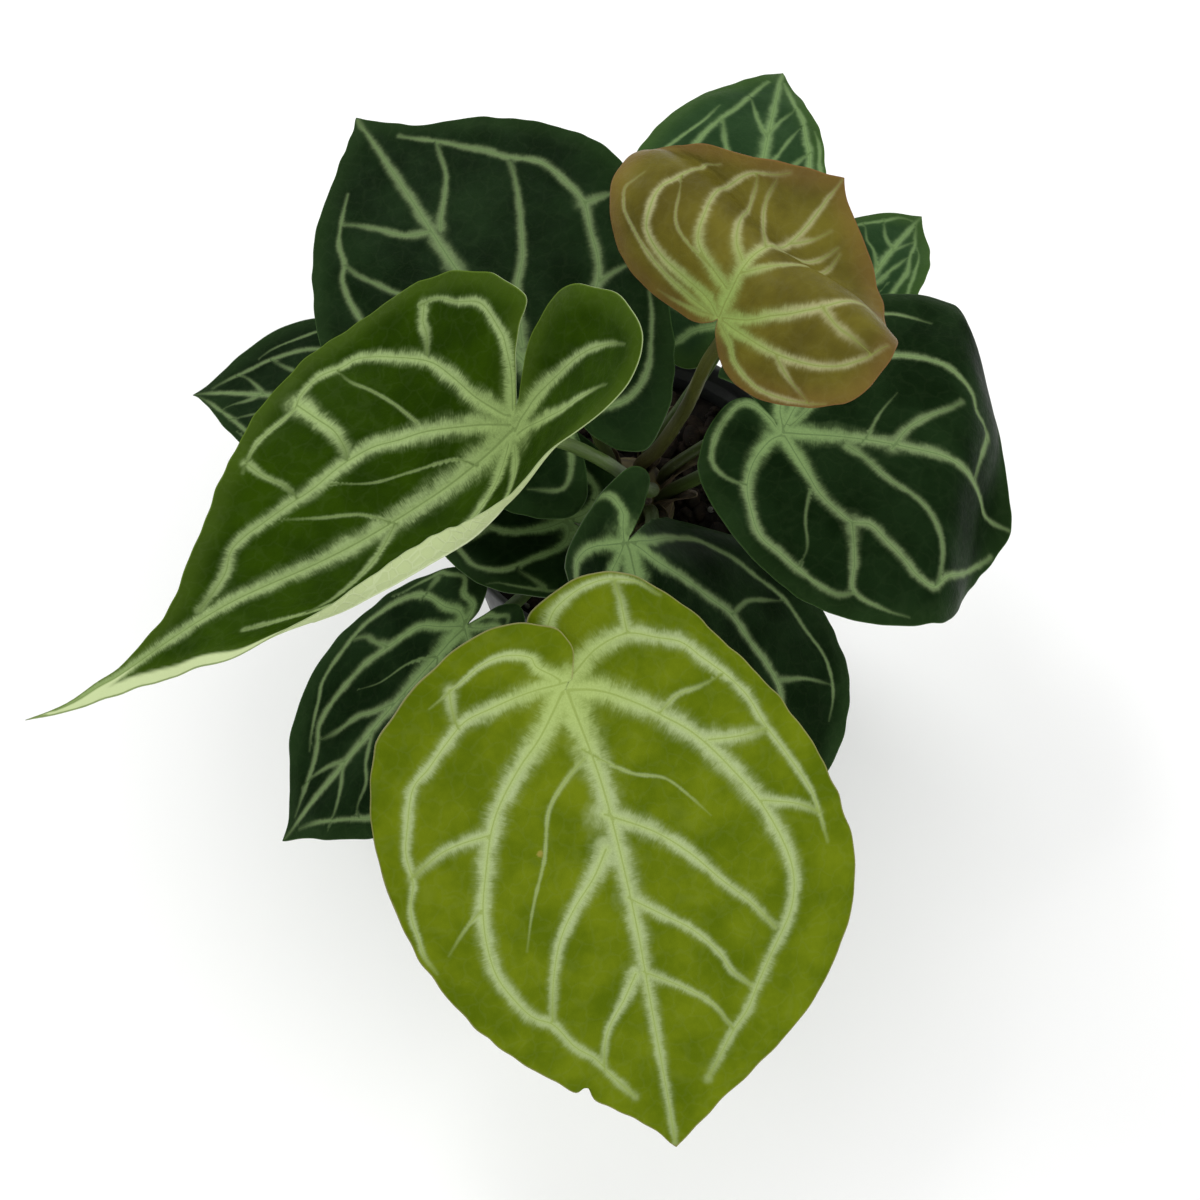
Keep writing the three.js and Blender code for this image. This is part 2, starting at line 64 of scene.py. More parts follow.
# tear and scar are flat places on the blade in mm; a plain leaf's scar lies far off its blade
LEAVES = {
    "front": dict(
        at=(-18, -127, 200), length=148, width=140, heading=-72, slopes=(-42, -44, -45, -46, -48),
        lobe_slope=-10, finish="lime", grain=0.95, tear=(122, -23.2), scar=(43.7, -19),
        left=dict(belly=0.45, wide=0.98, lobe=0.2, skew=-0.9, lift=-5),
        right=dict(belly=-0.35, wide=0.9, lobe=0.175, skew=0.6, sway=0.08, lift=5),
        foot=-92, via=((2, -45, 124), (-14, -85, 148), (-27, -112, 174))),
    "left": dict(
        at=(-33, -62, 235), length=163, width=130, heading=-150, slopes=(-45, -12, 8, -22, 12),
        lobe_slope=-25, drip=0.2, finish="fresh", veins="RL", grain=0.9,
        left=dict(belly=0.1, wide=0.74, fold=32, curl=145, power=2.2, lobe=0.44, lobe_fold=0.35,
                  lobe_from=-0.1, skew=-0.95, sway=0.08),
        right=dict(belly=-1, wide=0.9, full=0.2, fold=4, lobe=0.22, skew=-0.9, sway=-0.1),
        foot=-90, ring="inner",
        via=((8, -18, 135), (5, -34, 160), (-6, -43, 188), (-20, -55, 218))),
    "young": dict(
        at=(25, -34, 250), length=71, width=96, heading=51, slopes=(58, 50, -20, -55, 0, 22, 5),
        roll=-10, twist=30, ripple=1, finish="bronze", grain=0.7,
        left=dict(wide=1.04, belly=0.25, lobe=0.09, fold=15, curl=-40, power=3),
        right=dict(wide=1.03, belly=-0.55, lobe=0.17, fold=14, curl=-30, power=1, lobe_fold=1.8),
        foot=30, ring="inner", via=((10, -6, 140), (18, -14, 175), (23, -25, 215))),
    "back_left": dict(
        at=(-21, -21, 190), length=140, width=110, heading=120, slopes=(2, 0, -4, -6, -8),
        lobe_slope=10, roll=-14, paint=0.78,
        left=dict(fold=5, curl=-20, lobe=0.25),
        right=dict(fold=5, curl=-15, lobe=0.2, wide=0.93, full=0.2),
        foot=150, ring="inner", via=((-9, 6, 130), (-15, 2, 158))),
    "far_left": dict(
        at=(-78, 20, 120), length=78, width=76, heading=166, slopes=(5, 0, -8, -16, -25),
        size=0.85,
        left=dict(wide=0.85, belly=-0.6, curl=-15), right=dict(curl=-25), veins="RL",
        foot=166, via=((-42, 14, 118),)),
    "low_left": dict(
        at=(-51, -79, 150), length=90, width=86, heading=-138, slopes=(-22, -26, -30, -33, -37),
        roll=15,
        left=dict(wide=0.9, curl=-15), right=dict(wide=0.8, curl=-15), veins="RL",
        foot=-160, via=((-30, -42, 116), (-42, -64, 130))),
    "inner": dict(
        at=(-19, -45, 160), length=80, width=80, heading=145, slopes=(-5, -8, -12, -16, -20),
        ripple=1, size=0.85,
        left=dict(wide=0.8, belly=-1, lobe=0.38), right=dict(wide=0.75, lobe=0.14),
        foot=-126, via=((-14, -24, 122),)),
    "middle": dict(
        at=(-1, -66, 180), length=125, width=126, heading=-70, slopes=(-35, -40, -46, -52, -58),
        roll=-22, twist=36, grain=0.9,
        left=dict(wide=1.13, belly=0.5, fold=-22, curl=-5, lobe_fold=2.2, lobe_from=0.18,
                  lobe=0.02),
        right=dict(wide=0.6, fold=20, curl=60, lobe_fold=0.5, lobe=0.17, skew=0.5, sway=0.9,
                   lift=1),
        foot=-58, via=((8, -34, 138), (4, -56, 156))),
    "right": dict(
        at=(47, -33, 190), length=92, width=118, heading=-12, slopes=(0, 0, 0, -5, -60, -75, -5),
        drip=-0.06, grain=0.85, veins="RL",
        left=dict(wide=1.15, belly=0.35, fold=3, curl=-20, lobe=0.24, skew=1),
        right=dict(wide=0.98, belly=0.12, fold=3, curl=-20, lobe=0.24, skew=1.3, lift=2.5),
        foot=-24, via=((24, -15, 138), (38, -26, 168))),
    "back": dict(
        at=(35, 25, 175), length=128, width=90, heading=80, slopes=(5, -2, -10, -18, -25),
        finish="mid",
        left=dict(curl=-15), right=dict(wide=0.5, curl=-15),
        foot=55, via=((20, 24, 124),)),
    "back_right": dict(
        at=(67, 24, 160), length=74, width=56, heading=60, slopes=(5, -2, -10, -18, -25),
        size=0.85, finish="mid",
        left=dict(curl=-15), right=dict(wide=0.6, curl=-15), veins="RL",
        foot=15, via=((38, 18, 120),)),
}
for name, leaf in LEAVES.items():
    leaf["name"] = name
    for key, value in PLAIN_LEAF.items():
        leaf.setdefault(key, value)
    leaf["left"] = {**PLAIN_HALF, **leaf["left"]}
    leaf["right"] = {**PLAIN_HALF, **leaf["right"]}
print("leaves:", ", ".join(LEAVES))

# %% [markdown]
# ## From a plain heart to a bent leaf
# We draw everything, margin and veins alike, on one flat heart that is one length long and one
# half width to each side. Two functions then make it a leaf: the first stretches the heart into
# the flat shape of this blade, and the second bends that flat shape in space, along the midrib and
# across it. Because the veins are drawn on the same heart, they follow each stretch and bend
# without any further work.

# %% Small helpers
def smooth(x, low=0.0, high=1.0):
    t = np.clip((x - low) / (high - low), 0, 1)
    return t * t * (3 - 2 * t)


def spline(points, count):
    """A smooth curve through given points, with count points on it."""
    p = np.asarray(points, float)
    p = np.vstack([2 * p[0] - p[1], p, 2 * p[-1] - p[-2]])
    place = np.linspace(0, len(p) - 3, count)
    i = np.minimum(place.astype(int), len(p) - 4)
    t = (place - i)[:, None]
    a, b, c, d = p[i], p[i + 1], p[i + 2], p[i + 3]
    return 0.5 * (2 * b + (c - a) * t + (2 * a - 5 * b + 4 * c - d) * t**2
                  + (3 * b - a - 3 * c + d) * t**3)


def evenly(points, step):
    """The same line with points a step apart."""
    points = np.asarray(points, float)
    along = np.r_[0, np.cumsum(np.linalg.norm(np.diff(points, axis=0), axis=1))]
    count = max(2, int(round(along[-1] / step)) + 1)
    at = np.linspace(0, along[-1], count)
    return np.stack([np.interp(at, along, points[:, k]) for k in range(points.shape[1])], 1)


# %% The heart and its stretch
HEART_HALF = [(-0.02, 0), (-0.085, 0.035), (-0.155, 0.12), (-0.19, 0.27), (-0.15, 0.5),
              (-0.04, 0.745), (0.11, 0.92), (0.28, 1), (0.45, 0.985), (0.6, 0.875), (0.72, 0.7),
              (0.81, 0.49), (0.88, 0.29), (0.94, 0.125), (1, 0)]
HEART_LOBE = 0.19


def pick(leaf, side, key):
    """A half's own value for each point: side is +1 on the left half and -1 on the right."""
    return np.where(side > 0, leaf["left"][key], leaf["right"][key])


def stretched(leaf, u, v, side):
    """Heart places (u along, v across, never negative) as flat millimetres on this leaf."""
    inner = np.clip(1 - v / 0.35, 0, 1) ** 2
    share = np.clip(u, 0, 1)
    v = v * pick(leaf, side, "wide") * (1 + pick(leaf, side, "belly") * (share - 0.3))
    v = v * (1 + pick(leaf, side, "full") * np.sin(np.pi * share) ** 2)
    u = np.where(u < 0, u * pick(leaf, side, "lobe") / HEART_LOBE, u)
    drawn = np.clip((u - 0.8) / 0.2, 0, 1)
    u = (u * (1 - leaf["drip"]) + leaf["drip"] * drawn**3) * leaf["length"]
    back = np.maximum(-u, 0)
    aslant = pick(leaf, side, "skew") * inner + pick(leaf, side, "sway")
    return u, side * v * leaf["width"] / 2 + aslant * back


# %% The bend
MIDRIB_STATIONS, SIDE_STEPS = 241, 20
UP = np.array([0, 0, 1.0])


def midrib(leaf, along):
    """How far out and up the midrib is, and its slope, at places along it."""
    lobe = max(leaf["left"]["lobe"], leaf["right"]["lobe"]) * leaf["length"] + 1
    stations = np.linspace(-lobe, leaf["length"], MIDRIB_STATIONS)
    slopes = np.array(leaf["slopes"], float)
    place = np.clip(stations / leaf["length"], 0, 1) * (len(slopes) - 1)
    i = np.minimum(place.astype(int), len(slopes) - 2)
    part = place - i
    part = 0.5 * part + 0.5 * part**2 * (3 - 2 * part)
    slope = slopes[i] + (slopes[i + 1] - slopes[i]) * part
    slope += np.where(stations < 0, leaf["lobe_slope"] * np.clip(-stations / lobe, 0, 1), 0)
    slope = np.radians(slope)
    step = stations[1] - stations[0]
    out = np.r_[0, np.cumsum((np.cos(slope[1:]) + np.cos(slope[:-1])) / 2 * step)]
    up = np.r_[0, np.cumsum((np.sin(slope[1:]) + np.sin(slope[:-1])) / 2 * step)]
    out -= np.interp(0, stations, out)
    up -= np.interp(0, stations, up)
    return [np.interp(along, stations, a) for a in (out, up, slope)]


def bent(leaf, along, across, side):
    """Flat places on a blade as points in space, in millimetres."""
    half = leaf["width"] / 2
    share = along / leaf["length"]
    behind = smooth(pick(leaf, side, "lobe_from") - share, 0, 0.25)
    bend = 1 + (pick(leaf, side, "lobe_fold") - 1) * behind
    distance = across * side
    y, z = np.zeros_like(along), np.zeros_like(along)
    for i in range(SIDE_STEPS):
        w = np.maximum(distance, 0) * (i + 0.5) / SIDE_STEPS / half
        fold = pick(leaf, side, "fold") * (1 - np.exp(-w / 0.12))
        curl = pick(leaf, side, "curl") * w ** pick(leaf, side, "power")
        angle = np.radians(bend * (fold + curl))
        y += np.cos(angle) * distance / SIDE_STEPS
        z += np.sin(angle) * distance / SIDE_STEPS
    z += pick(leaf, side, "lift") * smooth(-along, 0, 0.15 * leaf["length"])
    reach = np.clip(np.hypot(share, across / half), 0, 1.2)
    z += leaf["ripple"] * np.sin(5 * np.arctan2(across / half, share + 0.05)) * reach**2.5
    out, up, slope = midrib(leaf, along)
    heading = math.radians(leaf["heading"])
    ahead = np.array([math.cos(heading), math.sin(heading), 0])
    beside = np.array([-math.sin(heading), math.cos(heading), 0])
    above = -np.sin(slope)[:, None] * ahead + np.cos(slope)[:, None] * UP
    roll = np.radians(leaf["roll"] + leaf["twist"] * np.clip(share, -0.3, 1))[:, None]
    left_way = beside * np.cos(roll) + above * np.sin(roll)
    up_way = above * np.cos(roll) - beside * np.sin(roll)
    rib = np.array(leaf["at"], float) + out[:, None] * ahead + up[:, None] * UP
    return rib + (y * side)[:, None] * left_way + z[:, None] * up_way


def bent_with_normal(leaf, along, across, side):
    """The points in space and the blade's upward normals there."""
    e = 0.4
    ahead = bent(leaf, along + e, across, side) - bent(leaf, along - e, across, side)
    left = bent(leaf, along, across + e, side) - bent(leaf, along, across - e, side)
    normal = np.cross(ahead, left)
    return bent(leaf, along, across, side), normal / np.linalg.norm(normal, axis=1)[:, None]


# %% [markdown]
# ## The veins
# On the real leaf a pale midrib runs to the tip. From the same point as the stalk, two or three
# basal veins sweep out in each half and bend round to meet near the tip, one more loops through
# each lobe, and side veins and short links tie them together. They could be painted by hand or
# grown by a program. We list their points on the flat heart: the six leaves that the picture
# shows best have veins of their own, and the others share two plain halves, mixed, mirrored and
# jittered so that no two leaves are the same.

# %% The plain halves
# Each vein: the half width of its pale band at its start and at its end, in mm, then its points on
# the heart, in hundredths of the length and of the half width
PLAIN_VEINS = {
    "L": [
        (1.7, 0.8, [(0, 2), (5, 20), (14, 38), (24, 50), (35, 56), (48, 56), (58, 50), (67, 38),
            (74, 28), (82, 17), (90, 7)]),
        (1.6, 0.5, [(-1, 2), (-2.5, 17), (-1.5, 36), (2, 56), (8, 72), (17, 83), (26, 86),
            (36, 84), (47, 78), (57, 67), (66, 53), (73, 40)]),
        (1.3, 0.5, [(-1.5, 2), (-6, 12), (-11, 26), (-12.5, 40), (-9, 55), (-4, 67), (3, 78),
            (9, 85)]),
        (0.8, 0.8, [(-6, 61), (-1, 60), (2.5, 57)]),
        (1.1, 1.1, [(24, 50), (26.5, 64), (28, 75), (31, 85)]),
        (0.5, 0.25, [(13, 0), (22, 17), (32, 28), (43, 38)]),
        (1.3, 0.8, [(35, 0), (42, 15), (49, 25), (57, 32), (66, 38)]),
        (0.9, 0.5, [(62, 0), (68, 10), (75, 18), (80, 20)]),
    ],
    "R": [
        (1.8, 0.8, [(0, 2), (4.5, 22), (12, 40), (23, 55), (35, 66), (47, 71), (57, 69), (65, 60),
            (73, 47), (80, 33), (87, 19), (93, 8)]),
        (1.6, 0.5, [(-1.5, 2), (-5.5, 12), (-7, 26), (-3, 42), (5, 56), (16, 71), (27, 81),
            (38, 87), (50, 87), (60, 79), (68, 68)]),
        (1.1, 0.7, [(-2, 1), (-8, 7), (-13.5, 17), (-14, 26), (-10, 32), (-5.5, 33)]),
        (0.9, 0.9, [(18, 49), (19, 61), (20.5, 75)]),
        (0.5, 0.5, [(35, 66), (37, 76), (39, 87)]),
        (0.5, 0.25, [(13, 0), (20, 19), (28, 36), (34, 45)]),
        (1.4, 0.8, [(30, 0), (36, 18), (43, 33), (51, 48), (60, 66)]),
        (0.9, 0.5, [(47, 0), (54, 18), (61, 32), (68, 42), (72, 49)]),
        (0.9, 0.5, [(64, 0), (70, 14), (76, 25), (80, 33)]),
    ],
}

# %% The leaves with veins of their own
# bow: how far the midrib bends towards the left half, in half widths
OWN_VEINS = {
    "front": dict(
        bow=0.05,
        left=[
            (2.6, 1.1, [(0, 2), (2, 16), (6, 30), (10, 40), (14, 49), (19, 56), (25, 62), (31, 67),
                (38, 70), (45, 71), (51, 69), (57, 63), (64, 51), (69, 43), (74, 36), (78, 28),
                (86, 16)]),
            (2.2, 0.5, [(-2, 2), (-3, 10), (-6, 22), (-7, 35), (-5, 48), (-3, 59), (1, 67),
                (6, 75), (11, 80), (17, 82), (24, 86), (34, 90), (45, 88)]),
            (1.8, 0.5, [(-5, 3), (-12, 12), (-15, 17), (-17, 25), (-17, 35), (-15, 46),
                (-12, 55)]),
            (1.1, 0.9, [(-7, 35), (-13, 36), (-17, 35)]),
            (1.6, 1.3, [(17, 56), (18, 70), (18, 82)]),
            (0.7, 0.5, [(9, 39), (6.5, 49), (6, 60), (5, 73)]),
            (1.3, 0.9, [(32, 68), (35, 82), (38.5, 90)]),
            (0.5, 0.3, [(12, 0), (19, 18), (22, 32), (27, 40), (32, 46)]),
            (2, 1, [(26, 3), (32, 21), (38.5, 33), (45, 41), (52, 50), (59, 56)]),
            (1.4, 0.7, [(44, 4), (49.5, 16), (54, 25), (60, 32), (65, 35), (69, 40)]),
            (1.1, 0.6, [(60, 3), (66, 17), (71, 25), (77, 29)]),
        ],
        right=[
            (2.6, 1, [(0, 2), (7, 15), (12, 28), (17.5, 40), (23, 48.5), (30, 56), (37, 63),
                (44, 67), (51, 68), (57, 64), (62, 58), (65, 49), (71, 42), (75, 33), (79, 28),
                (86, 17)]),
            (2.2, 0.5, [(-2, 2), (-2, 17), (-1, 32), (0, 43), (3, 53), (7, 64), (10, 73), (17, 81),
                (22, 86), (28, 88), (33, 94), (40, 96), (47, 95)]),
            (1.6, 0.4, [(-3, 5), (-7, 14), (-10, 17), (-12, 25), (-11.5, 34), (-9, 43), (-5, 57)]),
            (1, 1, [(-8, 48), (-4, 48), (1, 47)]),
            (1.4, 1.1, [(23, 49), (23, 62), (24, 74), (27, 88)]),
            (0.5, 0.3, [(37, 64), (40, 75), (44, 86)]),
            (0.6, 0.3, [(14, 0), (17, 10), (22, 21), (31, 29), (40, 41), (48, 50)]),
            (2, 1, [(33, 0), (38, 9), (43, 22), (48.5, 33), (56, 42), (64, 49)]),
            (1.4, 0.7, [(60, 0), (65, 10), (69, 20), (73, 26), (78, 30)]),
        ]),
    "left": dict(
        bow=-0.02,
        left=[
            (2.2, 0.5, [(0, 2), (-3, 7), (-6.5, 12.5), (-10, 16.5), (-12.5, 20), (-14.8, 24.5),
                (-16.3, 29)]),
            (1.8, 0.5, [(0, 5), (-3, 16), (-6, 24), (-9, 29), (-11.5, 34), (-12.5, 38)]),
            (1.6, 0.8, [(3, 5), (12, 25), (22, 38), (35, 45), (50, 46), (62, 40), (75, 25)]),
            (1.2, 0.6, [(2, 10), (7, 45), (18, 66), (34, 76), (50, 74), (64, 58)]),
            (1, 0.5, [(35, 0), (44, 18), (55, 33), (64, 39)]),
        ],
        right=[
            (2.3, 1.2, [(0, 2), (7, 14), (17, 28), (24, 34), (30, 39), (38, 41), (46, 40),
                (53, 41), (60, 41), (65, 41), (69, 38), (72, 27), (76, 19), (81, 10)]),
            (2.1, 0.5, [(-1, 3), (3, 21), (5, 36), (7.5, 50), (13.5, 65), (21, 80), (26, 83),
                (31.5, 87), (37, 86), (40, 82), (44, 82), (50, 83), (54, 81), (58, 75)]),
            (1.9, 0.6, [(-2, 2), (-6.5, 10), (-9.5, 22), (-10, 33), (-9.5, 46), (-5, 57), (-2, 66),
                (3, 73)]),
            (1.1, 1, [(2, 70), (4, 66), (5, 60), (7.5, 54)]),
            (0.4, 0.4, [(18, 34), (20, 48), (23, 62), (26, 73), (27, 83)]),
            (1.7, 1.5, [(39, 83), (37, 70), (35, 58), (35, 47), (36, 41)]),
            (0.8, 0.8, [(56, 78), (54, 64), (51, 51), (50, 41)]),
            (0.4, 0.3, [(12, 0), (16, 10), (26, 18), (34, 24), (42, 36)]),
            (0.5, 0.4, [(34, 0), (40, 14), (48, 24), (56, 36)]),
        ]),
    "young": dict(
        bow=0,
        left=[
            (1.5, 0.5, [(0, 2), (4, 13), (7, 32), (10, 49), (15.5, 62), (22, 66), (29, 68),
                (35, 65), (44, 64), (60, 63), (68, 56)]),
            (1.1, 0.4, [(-2, 5), (0, 22), (2.5, 37), (4.5, 46), (9, 61), (13, 71), (17, 80),
                (20, 84), (24, 87), (27.5, 84), (31, 82)]),
            (0.8, 0.4, [(-2, 4), (-6, 14), (-10, 30), (-9, 45)]),
            (1.3, 0.7, [(12, 3), (16, 16), (22, 31), (31, 38), (40, 43), (50, 46), (66, 44),
                (76, 39), (82, 30), (87, 23)]),
            (1, 0.6, [(25, 3), (31, 14), (44, 24), (67, 32), (77, 37)]),
            (0.9, 0.6, [(38, 0), (56, 16), (70, 25), (81, 27)]),
            (0.4, 0.3, [(16, 16), (22, 45), (30, 56), (38, 64)]),
        ],
        right=[
            (1.5, 0.8, [(1, 2), (7, 17), (14, 29), (20, 42), (26.5, 55), (37, 66), (41, 75),
                (40, 85)]),
            (1.4, 0.8, [(0, 3), (1, 17), (2, 29), (3, 38), (5, 50), (8, 63), (12, 74), (16, 81),
                (20.5, 88), (28, 95)]),
            (0.8, 0.8, [(25, 52), (22.5, 65), (22, 76), (21, 88)]),
            (1.1, 0.5, [(-2, 3), (-6, 14), (-11, 21), (-13, 33), (-12, 48), (-8, 62), (-3, 74)]),
            (0.6, 0.5, [(3, 40), (-1, 50), (-4, 60), (-6, 67)]),
            (1, 0.6, [(20, 0), (30, 14), (40, 24), (50, 30), (62, 34), (72, 34)]),
            (1.1, 0.6, [(42, 0), (53, 14), (64, 24), (74, 30)]),
            (0.9, 0.5, [(62, 0), (70, 10), (78, 18)]),
        ]),
    "back_left": dict(
        bow=0.06,
        left=[
            (1.5, 0.6, [(0, 2), (5, 22), (12, 42), (20, 55), (30, 64), (42, 68), (52, 68),
                (60, 64), (63, 58), (69, 54), (73, 47), (80, 32)]),
            (1.3, 0.5, [(-1, 2), (-4, 20), (-3, 44), (3, 66), (14, 82), (30, 88)]),
            (1.2, 0.5, [(-2, 2), (-9, 10), (-14, 24), (-11, 42)]),
            (1.2, 0.7, [(32, 4), (40, 28), (47, 42), (52, 48), (58, 55), (63, 58)]),
            (1.1, 0.7, [(57, 5), (60, 19), (66, 30), (70, 38), (73, 45)]),
        ],
        right=[
            (1.5, 0.8, [(0, 2), (4, 20), (10, 38), (17, 50), (21, 58), (26, 63), (33, 66),
                (39.5, 70), (47, 68), (54.5, 65), (58, 61), (63, 52), (68, 47), (74, 38), (80, 30),
                (88, 15)]),
            (1.2, 0.6, [(39.5, 70), (38.5, 80), (38, 90)]),
            (1, 0.6, [(20, 57), (20, 69), (19.5, 80)]),
            (1.3, 0.5, [(-2, 2), (-6, 16), (-8, 36), (-4, 56), (4, 72), (14, 84)]),
            (1.3, 0.9, [(17, 0), (24, 8), (31, 16), (36, 26), (42.5, 34), (50, 42), (56, 48),
                (61, 52)]),
            (1, 0.7, [(56, 0), (59, 4), (64, 13), (69, 21), (76, 27), (80, 30)]),
        ]),
    "middle": dict(
        bow=0,
        left=[
            (1.6, 0.9, [(0, 2), (6, 14), (12, 27), (21, 40), (28, 49), (36.5, 51.5), (45, 54),
                (51, 54), (57, 50), (65, 42), (74, 30), (84, 16)]),
            (1.3, 0.4, [(0, 2), (2, 20), (3.5, 42), (7, 63), (12, 68), (22, 77), (31, 84),
                (42, 84), (52, 83), (62, 75), (67, 67)]),
            (0.6, 0.5, [(28, 50), (27, 62), (29.5, 74), (32, 83)]),
            (0.6, 0.4, [(50, 56), (53.5, 68), (59, 78)]),
            (1.2, 0.7, [(25, 0), (32, 15), (40, 28), (50, 40), (56, 50)]),
            (1, 0.6, [(50, 0), (58, 16), (66, 28), (72, 33)]),
        ],
        right=[
            (1.6, 0.8, [(0, 2), (3, 12), (7, 27), (12, 40), (20, 52), (32, 60), (46, 62), (58, 56),
                (70, 40), (82, 20)]),
            (1.6, 0.5, [(0, 3), (-1, 20), (-2, 40), (-1, 58), (5, 74), (16, 84), (30, 88)]),
            (1.5, 0.5, [(0, 3), (-4, 12), (-8, 19), (-12, 32), (-14, 45), (-14, 55), (-12, 62)]),
            (1.2, 0.7, [(30, 0), (36, 20), (43, 38), (50, 55)]),
        ]),
    "right": dict(
        bow=0.04,
        left=[
            (1.5, 0.8, [(0, 2), (3, 20), (10, 40), (20, 52), (30.5, 55), (37.5, 55), (42.5, 54),
                (47, 52), (52.5, 46.5), (58, 40), (60.5, 33), (66, 31), (70, 25)]),
            (1.5, 0.5, [(0, 2), (-1.5, 10), (-2, 20), (-3, 40), (1, 60), (10, 75), (25, 83),
                (40, 79)]),
            (1, 0.7, [(2, 5), (7, 18), (12, 30), (17, 45)]),
            (0.45, 0.3, [(25, 2), (27, 10), (29, 20), (33, 32)]),
            (1.1, 0.9, [(34.5, 2), (37.5, 12), (41, 18), (45.5, 23.5), (50.5, 28.5), (53.5, 33)]),
            (1, 0.8, [(69, 27), (67, 16), (66, 5)]),
        ],
        right=[
            (1.5, 0.8, [(1, 2), (4.5, 10), (10, 22.5), (15, 34), (21, 42), (26.5, 47.5),
                (32, 46.5), (37.5, 53.5), (44.5, 62.5), (49, 69), (55, 71), (60, 60), (70, 48),
                (80, 35), (90, 18)]),
            (1.2, 0.4, [(26.5, 47.5), (28, 58), (29.5, 71), (30, 83), (33, 88), (38.5, 90.5),
                (43.5, 92), (49, 92)]),
            (1.6, 0.8, [(0, 2), (-3, 12), (-5.5, 25.5), (-5.7, 40), (-3.7, 52.5), (0, 66),
                (6, 72.5), (12, 79), (18.5, 85), (26, 89), (30, 87)]),
            (1.2, 0.6, [(-2, 2), (-7, 4), (-12, 9), (-15, 17), (-16, 26), (-14, 34), (-10, 39),
                (-6, 39)]),
            (1, 0.8, [(21, 1), (26.5, 6), (35, 16.5), (43.5, 23.5), (50, 32), (55, 45.5),
                (56.5, 63), (55.5, 70)]),
            (0.35, 0.35, [(12, 33), (12, 44), (12.5, 53), (14.5, 67), (13.5, 78)]),
        ]),
}


# How many points a vein's line gets, and how far a shared vein's points stray from the table
LINE_POINTS, STRAY = 60, 0.012
FRONT_LENGTH = LEAVES["front"]["length"]


def leaf_veins(leaf, rng):
    """This leaf's veins, as (start half width, end half width, places on the heart, side)."""
    own = OWN_VEINS.get(leaf["name"])
    bow = own["bow"] if own else 0
    middle = [(0, 0), (0.2, abs(bow)), (0.45, abs(bow)), (0.7, abs(bow) / 2), (0.99, 0)]
    grown = (leaf["length"] / FRONT_LENGTH) ** 0.6
    veins = [(3 * grown, 0.8 * grown, spline(middle, LINE_POINTS), 1.0 if bow >= 0 else -1.0)]
    for side, key, kind in ((1.0, "left", leaf["veins"][0]), (-1.0, "right", leaf["veins"][1])):
        for start, end, points in own[key] if own else PLAIN_VEINS[kind]:
            points = np.array(points, float) / 100
            if not own:
                start, end = start * grown, end * grown
                points[1:] += rng.normal(0, STRAY, points[1:].shape)
            points[:, 1] = np.maximum(points[:, 1], 0)
            veins.append((start, end, spline(points, LINE_POINTS), side))
    return veins


# %% [markdown]
# ## The mesh of a blade
# A grid bent into a heart would bunch its lines at the stalk and stretch them at the margin. We
# scatter points evenly over the flat heart instead, add points on the margin and right on the
# veins, and let Blender's triangulator join them. The veins then run along mesh edges, so their
# relief and their colour stay crisp. Each point also notes how far it is from the nearest vein:
# the shaders paint with that.

# %% Points on the heart
def inside(points, ring):
    """Which points lie in a closed ring, by counting how often a ray to the right meets it."""
    x, y = points[:, 0], points[:, 1]
    hit = np.zeros(len(points), bool)
    for (x0, y0), (x1, y1) in zip(ring, np.roll(ring, -1, axis=0)):
        if y0 != y1:
            crosses = (y0 > y) != (y1 > y)
            hit ^= crosses & (x < (x1 - x0) * (y - y0) / (y1 - y0) + x0)
    return hit


def nearest(points, line):
    """For each point, its distance to a line, how far along the line that is, and where."""
    a, b = line[:-1], line[1:]
    way = b - a
    span = np.linalg.norm(way, axis=1)
    start = np.r_[0, np.cumsum(span)]
    best = np.full(len(points), 1e9)
    along = np.zeros(len(points))
    for k in range(len(way)):
        t = np.clip(((points - a[k]) @ way[k]) / max(span[k] ** 2, 1e-12), 0, 1)
        d = np.linalg.norm(points - a[k] - t[:, None] * way[k], axis=1)
        closer = d < best
        best[closer] = d[closer]
        along[closer] = (start[k] + t * span[k])[closer]
    return best, along, start[-1]


# In steps of the mesh: the rows' distance, the points' distance on a vein, how far the scattered
# points keep from all lines, how far vein points keep from the margin and from each other
ROW_STEP, VEIN_STEP, FROM_LINES, FROM_MARGIN, APART = 0.866, 0.9, 0.55, 0.4, 0.45


